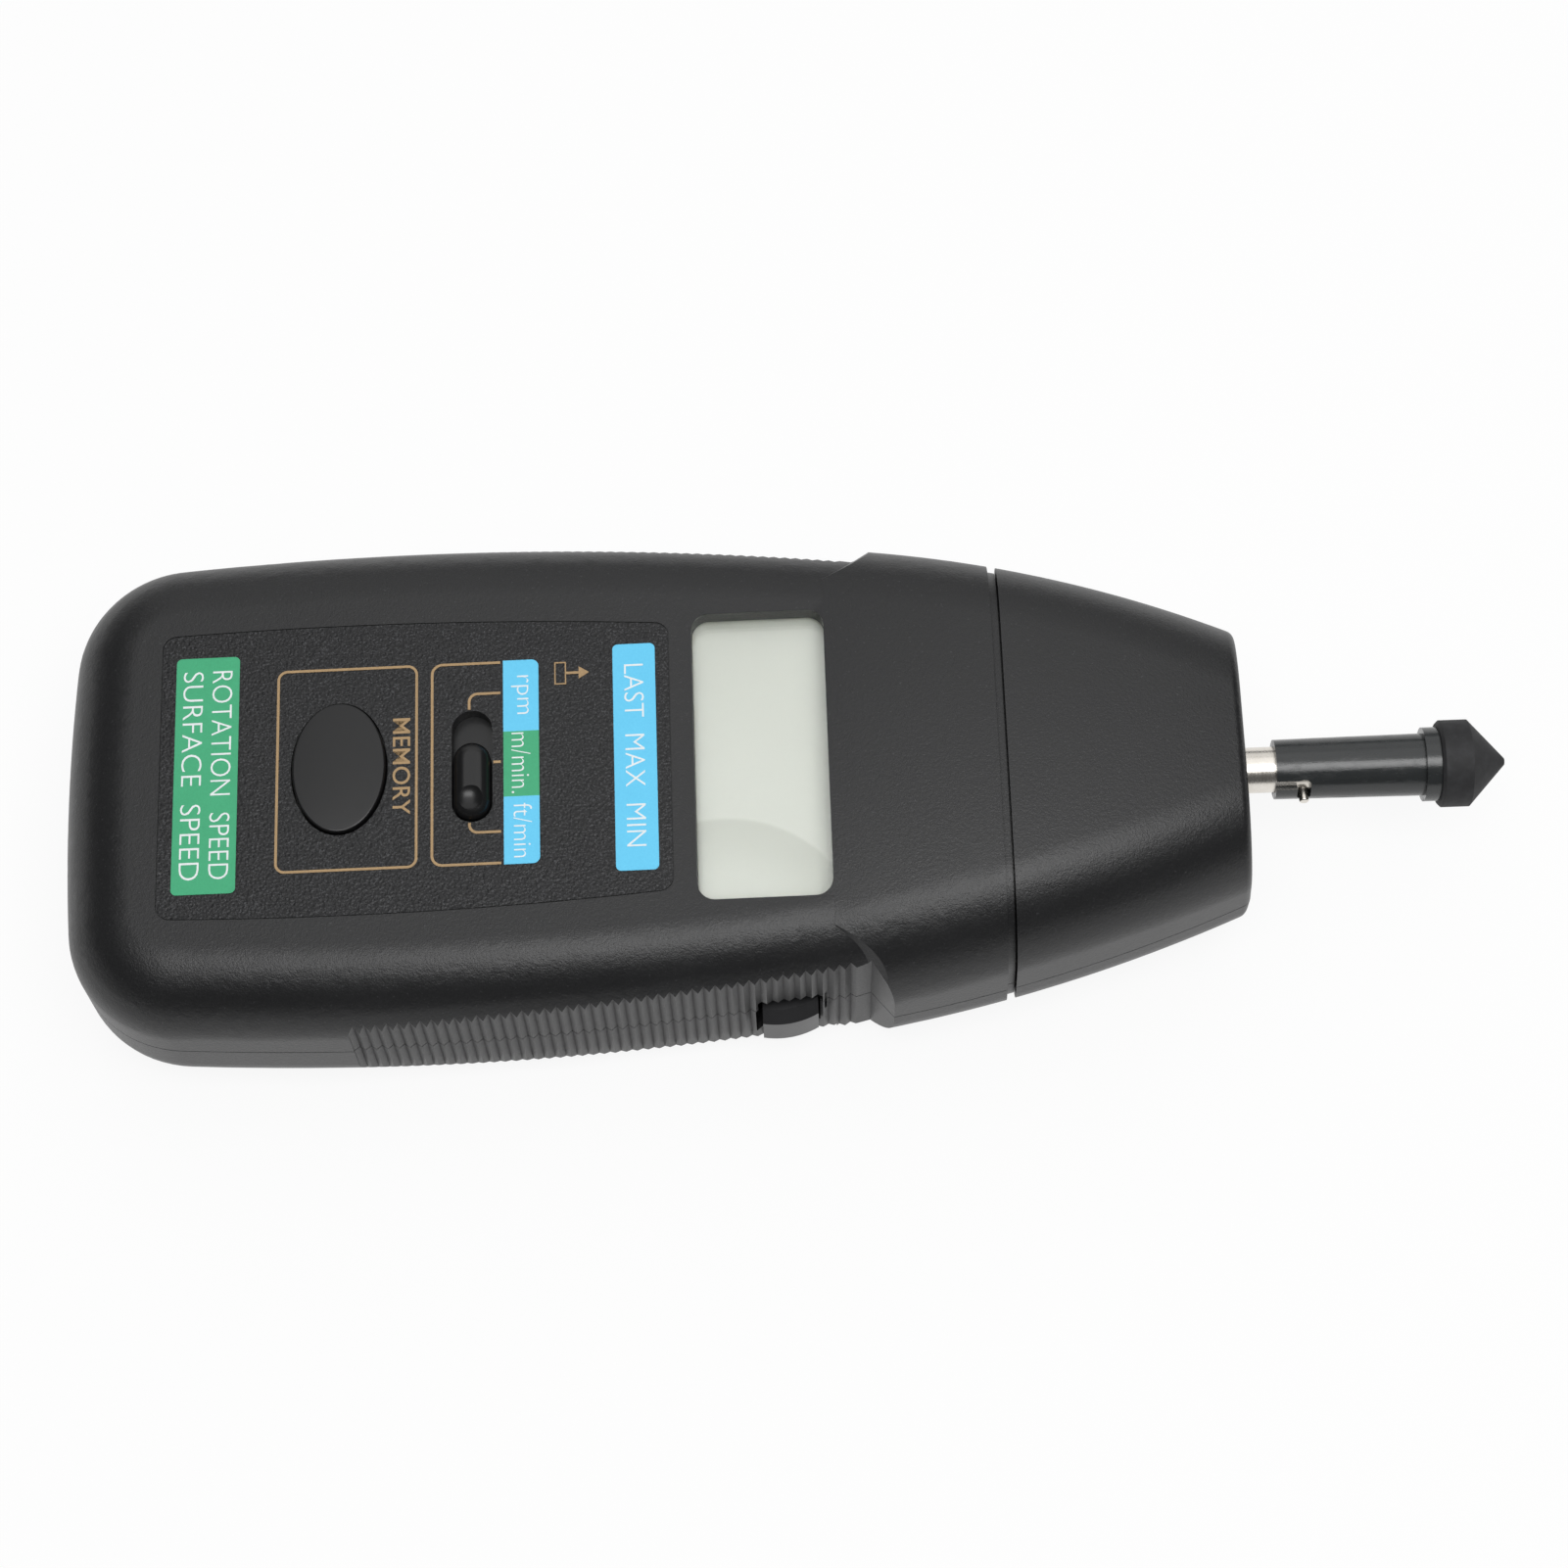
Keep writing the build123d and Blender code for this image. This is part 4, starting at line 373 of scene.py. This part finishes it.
def circuit_board():
    """Green lacquered board with faint tracks under the lacquer."""
    finish = Finish("circuit_board")
    tracks = finish.place.add(
        "ShaderNodeTexBrick",
        {"offset": 0.37, "squash": 1.0},
        {"Vector": finish.place, "Scale": 1.0 / (6.0 * MM), "Mortar Size": 0.035},
        "Fac",
    )
    return finish.surface(
        Base_Color=tracks.mixed((0.012, 0.105, 0.040), (0.035, 0.190, 0.075)),
        Roughness=0.32 + tracks * 0.08,
        Coat_Weight=0.3,
    )


def cell_sleeve():
    """Dark blue sleeve of a cell with a copper band near one end, and bare metal at both ends."""
    finish = Finish("cell_sleeve")
    low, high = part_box("battery_cell_1")
    tail_end = finish.x.calc("LESS_THAN", finish.x, low.x + 0.6 * MM)
    head_end = finish.x.calc("GREATER_THAN", finish.x, high.x - 1.6 * MM)
    bare = tail_end.greater(head_end)
    band = finish.x.step(high.x - 16 * MM, high.x - 15.8 * MM)
    printed = band.mixed((0.012, 0.022, 0.060), (0.55, 0.30, 0.09))
    return finish.surface(
        Base_Color=bare.mixed(printed, (0.62, 0.61, 0.58)),
        Metallic=bare,
        Roughness=0.28 + finish.noise(3.0) * 0.1,
    )


shell = moulded_shell()
green_ink = screen_ink("green_ink", (0.054, 0.450, 0.215), (0.032, 0.340, 0.155))
blue_ink = screen_ink("blue_ink", (0.150, 0.660, 0.960), (0.100, 0.550, 0.860))
gold_ink = screen_ink("gold_ink", (0.520, 0.345, 0.165), (0.260, 0.165, 0.080))
white_ink = screen_ink("white_ink", (0.92, 0.95, 0.95), (0.70, 0.76, 0.78), 0.01)

# Plastics: name, darker and paler colour, roughness
button_plastic, trigger_plastic, black_plastic, chip_plastic, elastomer = (
    smooth_plastic(*row)
    for row in (
        ("button_plastic", (0.0045, 0.0045, 0.005), (0.0085, 0.0087, 0.0092), 0.30),
        ("trigger_plastic", (0.018, 0.018, 0.019), (0.030, 0.030, 0.032), 0.30),
        ("black_plastic", (0.008, 0.008, 0.0085), (0.015, 0.015, 0.016), 0.50),
        ("chip_plastic", (0.012, 0.012, 0.013), (0.022, 0.022, 0.024), 0.60),
        ("elastomer", (0.32, 0.12, 0.10), (0.45, 0.20, 0.17), 0.60),
    )
)

# Metals: name, darker and paler colour, roughness
steel, zinc, alloy, contact_metal = (
    machined_metal(*row)
    for row in (
        ("rolled_steel", (0.40, 0.40, 0.41), (0.62, 0.62, 0.63), 0.32),
        ("zinc_plated", (0.20, 0.20, 0.21), (0.38, 0.38, 0.39), 0.38),
        ("cast_alloy", (0.50, 0.51, 0.52), (0.70, 0.71, 0.72), 0.42),
        ("contact_metal", (0.50, 0.48, 0.42), (0.72, 0.70, 0.63), 0.30),
    )
)

# Each material and the nodes that are made of it
nodes_of = (
    (shell, "front_cover rear_cover head_front_cover head_rear_cover battery_cover"),
    (overlay_film(), "face_label"),
    (green_ink, "green_print"),
    (blue_ink, "blue_print"),
    (gold_ink, "gold_print"),
    (clear_lens(), "display_window"),
    (display_panel(), "lcd_panel"),
    (button_plastic, "memory_button mode_knob"),
    (trigger_plastic, "measure_button"),
    (
        black_plastic,
        "lcd_frame memory_plunger memory_switch mode_lever mode_switch measure_plunger "
        "measure_switch optical_sensor",
    ),
    (elastomer, "zebra_strips"),
    (chip_plastic, "main_chip board_parts"),
    (circuit_board(), "switch_board main_board sensor_board"),
    (cell_sleeve(), "battery_cell_1 battery_cell_2 battery_cell_3 battery_cell_4"),
    (contact_metal, "contact_plates contact_springs"),
    (nickel_plate(), "shaft shaft_pin"),
    (alloy, "capacitors bearing_block disc_hub"),
    (
        steel,
        "front_bearing_outer front_bearing_inner rear_bearing_outer rear_bearing_inner "
        "bearing_balls bearing_spacer encoder_disc retaining_ring",
    ),
    (zinc, "switch_screws board_screws block_screws sensor_screws case_screws head_screws"),
    (adapter_plastic(), "contact_adapter"),
    (moulded_rubber(), "rubber_tip"),
)
for material, names in nodes_of:
    for name in names.split():
        mesh = nodes[name].data
        mesh.materials.clear()
        mesh.materials.append(material)

body_of = {n: b for b, names in frame["record"]["behaviour"]["bodies"].items() for n in names}


def read_array(items, key, size, kind=float):
    """One property of a mesh's items as a numpy array."""
    values = np.empty(size, kind)
    items.foreach_get(key, values)
    return values


def round_normals(mesh):
    """
    Shading normals of all corners at once. A corner takes the sum of the normals of the faces
    round its vertex that lie within the edge angle of its own face, each times its area.
    """
    corners = len(mesh.loops)
    faces = len(mesh.polygons)
    vertex = read_array(mesh.loops, "vertex_index", corners, np.int32)
    sides = read_array(mesh.polygons, "loop_total", faces, np.int32)
    area = read_array(mesh.polygons, "area", faces)
    normal = read_array(mesh.polygons, "normal", faces * 3).reshape(-1, 3)
    order = np.argsort(vertex, kind="stable")
    face = np.repeat(np.arange(faces), sides)[order]
    count = np.bincount(vertex)
    start = np.cumsum(count) - count
    share = count[vertex[order]]
    left = np.repeat(np.arange(corners), share)
    turn = np.arange(len(left)) - np.repeat(np.cumsum(share) - share, share)
    right = np.repeat(start[vertex[order]], share) + turn
    own, other = normal[face[left]], normal[face[right]]
    near = (own * other).sum(1) > math.cos(math.radians(EDGE_ANGLE))
    weight = area[face[right]] * near
    total = [np.bincount(left, weight * other[:, axis], corners) for axis in range(3)]
    total = np.stack(total, axis=1)
    result = np.empty((corners, 3))
    result[order] = total / np.maximum(np.linalg.norm(total, axis=1), 1e-20)[:, None]
    mesh.shade_smooth()
    mesh.normals_split_custom_set(result)


def place_piece(name, mesh, body):
    """A new object with this mesh in the scene, riding on a body."""
    piece = bpy.data.objects.new(name, mesh)
    bpy.context.scene.collection.objects.link(piece)
    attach(piece, body)
    return piece


def closed_copy(name):
    """The node's own surface with its triangles joined, so that its curves shade smoothly."""
    mesh = nodes[name].data.copy()
    work = bmesh.new()
    work.from_mesh(mesh)
    bmesh.ops.remove_doubles(work, verts=work.verts, dist=SAME_POINT)
    bmesh.ops.dissolve_degenerate(work, edges=work.edges, dist=NO_LENGTH)
    bmesh.ops.dissolve_limit(
        work, angle_limit=math.radians(FLAT_ANGLE), verts=work.verts, edges=work.edges
    )
    work.to_mesh(mesh)
    work.free()
    round_normals(mesh)
    piece = place_piece(name + "_skin", mesh, body_of[name])
    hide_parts(name)


for name in (
    "front_cover",
    "rear_cover",
    "head_front_cover",
    "head_rear_cover",
    "battery_cover",
    "memory_button",
    "mode_knob",
    "measure_button",
    "shaft",
    "shaft_pin",
    "contact_adapter",
    "rubber_tip",
):
    closed_copy(name)


def flat_word(name, words, height, thin):
    """Mesh of flat words lying along X, with their strokes thinned on each side, in mm."""
    curve = bpy.data.curves.new(name, "FONT")
    curve.body = words
    curve.align_x = "CENTER"
    curve.align_y = "CENTER"
    curve.size = height * MM * SIZE_OVER_HEIGHT
    curve.extrude = INK_HALF_THICKNESS
    curve.offset = -thin * MM
    curve.resolution_u = 4
    text = bpy.data.objects.new(name + "_curve", curve)
    bpy.context.scene.collection.objects.link(text)
    bpy.context.view_layer.update()
    shaped = text.evaluated_get(bpy.context.evaluated_depsgraph_get())
    mesh = bpy.data.meshes.new_from_object(shaped)
    bpy.data.objects.remove(text)
    return mesh


def lettering(name, words, station, y, height, width, lift, thin, material, slot):
    """
    Words on the face whose tops point toward the shaft, centred on a station and y and lifted
    off the face, in mm. The word's height runs along the tilted face and its length across it.
    """
    mesh = flat_word(name, words, height, thin)
    flat = read_array(mesh.vertices, "co", len(mesh.vertices) * 3, np.float32).reshape(-1, 3)
    low, high = flat.min(0), flat.max(0)
    flat[:, :2] -= (low[:2] + high[:2]) / 2
    along = flat[:, 1] * (height * MM / (high[1] - low[1]))
    across = -flat[:, 0] * (width * MM / (high[0] - low[0]))
    above = flat[:, 2] + lift * MM
    cos, sin = math.cos(FACE_TILT), math.sin(FACE_TILT)
    x = DATUM + station * MM * cos + along * cos - above * sin
    z = FACE_HEIGHT_AT_DATUM + station * MM * sin + along * sin + above * cos
    placed = np.stack([x, y * MM + across, z], axis=1)
    mesh.vertices.foreach_set("co", placed.astype(np.float32).ravel())
    mesh.materials.clear()
    mesh.materials.append(material)
    place_piece(name, mesh, "housing")


# Name, words, station, y, height, width, lift, thinning, ink and slot of each line
for row in (
    ("memory_word", "MEMORY", 50.6, 0.0, 2.55, 14.8, 0.02, -0.015, gold_ink, "print_gold"),
    ("rpm_word", "rpm", 67.6, 10.2, 2.5, 6.0, 0.1, 0.05, white_ink, "print_blue"),
    ("metre_word", "m/min.", 67.7, -0.3, 2.7, 9.3, 0.1, 0.05, white_ink, "print_green"),
    ("foot_word", "ft/min", 67.9, -10.6, 2.6, 8.2, 0.1, 0.05, white_ink, "print_blue"),
    ("range_word", "LAST  MAX  MIN", 84.0, 0.2, 2.8, 28.0, 0.1, 0.05, white_ink, "print_blue"),
    ("upper_word", "ROTATION  SPEED", 24.7, 0.0, 2.9, 32.0, 0.1, 0.05, white_ink, "print_green"),
    ("lower_word", "SURFACE  SPEED", 20.5, 0.0, 2.9, 32.0, 0.1, 0.05, white_ink, "print_green"),
):
    lettering(*row)


def screw_recess_shade(name, places, low, high, reach, half):
    """
    Painted shade of the cross recesses in screw heads that face down: black crosses. Each is a
    prism on a plus sign of twelve corners, a quarter of three corners turned four times, at a
    station and y in mm.
    """
    quarter = np.array([[half, half], [reach, half], [reach, -half]])
    turn = np.array([[0, -1], [1, 0]])
    plus = np.concatenate([quarter @ np.linalg.matrix_power(turn, k) for k in range(4)])
    size = len(plus)
    foot = np.concatenate([np.c_[plus + place, np.full(size, low)] for place in places])
    points = np.concatenate([foot, foot + [0, 0, high - low]]) * MM + [DATUM, 0, 0]
    count = len(foot)
    corner = np.arange(count)
    after = corner - corner % size + (corner + 1) % size
    walls = np.c_[after, corner, corner + count, after + count].tolist()
    lower = corner.reshape(-1, size).tolist()
    upper = (corner[::-1] + count).reshape(-1, size).tolist()
    mesh = bpy.data.meshes.new(name)
    mesh.from_pydata(points.tolist(), [], walls + lower + upper)
    mesh.materials.append(black_plastic)
    place_piece(name, mesh, "housing")


# Stations and distances from the middle of the eight screws, in mm
screw_places = [(76.0, 25.0), (129.0, 24.0), (146.5, 20.6), (164.0, 15.6)]
screw_places += [(station, -y) for station, y in screw_places]
# Black crosses as painted shade inside the screws' cross recesses
screw_recess_shade("screw_recess_shade", np.array(screw_places), 2.79, 2.90, 1.5, 0.3)

# Camera at the place that the photograph was taken from
camera_data = bpy.data.cameras.new("camera")
camera = bpy.data.objects.new("camera", camera_data)
bpy.context.scene.collection.objects.link(camera)
camera_data.sensor_width = SENSOR_WIDTH
camera_data.lens = FOCAL_PIXELS / FRAME_PIXELS * SENSOR_WIDTH
camera_data.clip_start = 0.02
camera_data.clip_end = 20.0
camera.location = (DATUM + 0.104866, -0.203268, 0.530261)
camera.rotation_euler = (0.3793201, 0.0128446, -0.0328581)
bpy.context.scene.camera = camera


def floor_paper():
    """
    Paper that reads near white to the camera, in reflections and through glass, that keeps
    the object's shadow, and that is clear from below.
    """
    finish = Finish("floor_paper")
    camera_ray, glossy_ray, glass_ray = (
        finish.place.add("ShaderNodeLightPath", output=ray)
        for ray in ("Is Camera Ray", "Is Glossy Ray", "Is Transmission Ray")
    )
    seen = camera_ray.greater(glossy_ray).greater(glass_ray)
    pale, white = (0.88, 0.88, 0.88, 1.0), (1.0, 1.0, 1.0, 1.0)
    paper = finish.place.add("ShaderNodeBsdfDiffuse", {}, {"Color": pale})
    glow = finish.place.add("ShaderNodeEmission", {}, {"Color": white, "Strength": 1.0})
    above = finish.place.add("ShaderNodeMixShader", {}, {0: seen * 0.90, 1: paper, 2: glow})
    below = finish.place.add("ShaderNodeBsdfTransparent")
    underside = finish.place.add("ShaderNodeNewGeometry", output="Backfacing")
    both = finish.place.add("ShaderNodeMixShader", {}, {0: underside, 1: above, 2: below})
    return finish.close(both)


def backdrop(reach, drop):
    """Square floor that reaches this far each way, just under the object, in m."""
    mesh = bpy.data.meshes.new("floor")
    corners = [(x * reach, y * reach, 0) for x, y in ((-1, -1), (1, -1), (1, 1), (-1, 1))]
    mesh.from_pydata(corners, [], [(0, 1, 2, 3)])
    mesh.materials.append(floor_paper())
    floor = bpy.data.objects.new("floor", mesh)
    floor.location.z = -drop
    bpy.context.scene.collection.objects.link(floor)


backdrop(1.6, 0.0001)


def area_light(name, place, target, size, radiance):
    """Softbox of a brightness, aimed at a point."""
    data = bpy.data.lights.new(name, "AREA")
    data.shape = "RECTANGLE"
    data.size, data.size_y = size
    data.energy = radiance * math.pi * size[0] * size[1]
    light = bpy.data.objects.new(name, data)
    light.location = place
    aim = Vector(target) - Vector(place)
    light.rotation_euler = aim.to_track_quat("-Z", "Y").to_euler()
    bpy.context.scene.collection.objects.link(light)


area_light("top_softbox", (0.15, 0.40, 1.30), (0.15, 0.40, 0.0), (1.6, 1.7), 1.12)
area_light("key_softbox", (0.14, -0.34, 1.29), (0.14, -0.34, 0.0), (1.1, 0.62), 4.8)
area_light("far_softbox", (0.0, 1.6, 0.9), (0.0, 0.0, 0.0), (2.2, 1.0), 0.8)


def studio():
    """World that is white to the camera and dim to the object."""
    world = bpy.data.worlds.new("studio")
    bpy.context.scene.world = world
    world.use_nodes = True
    tree = world.node_tree
    tree.nodes.clear()
    rays = tree.nodes.new("ShaderNodeLightPath").outputs
    seen = Wire(tree, rays["Is Camera Ray"])
    strength = seen.calc("MULTIPLY_ADD", seen, 1.0 - ROOM_LIGHT, ROOM_LIGHT)
    inputs = {"Color": (1.0, 1.0, 1.0, 1.0), "Strength": strength}
    background = seen.add("ShaderNodeBackground", {}, inputs)
    output = tree.nodes.new("ShaderNodeOutputWorld")
    tree.links.new(background.socket, output.inputs["Surface"])


studio()

bpy.context.scene.view_settings.view_transform = "Standard"

bpy.context.view_layer.update()
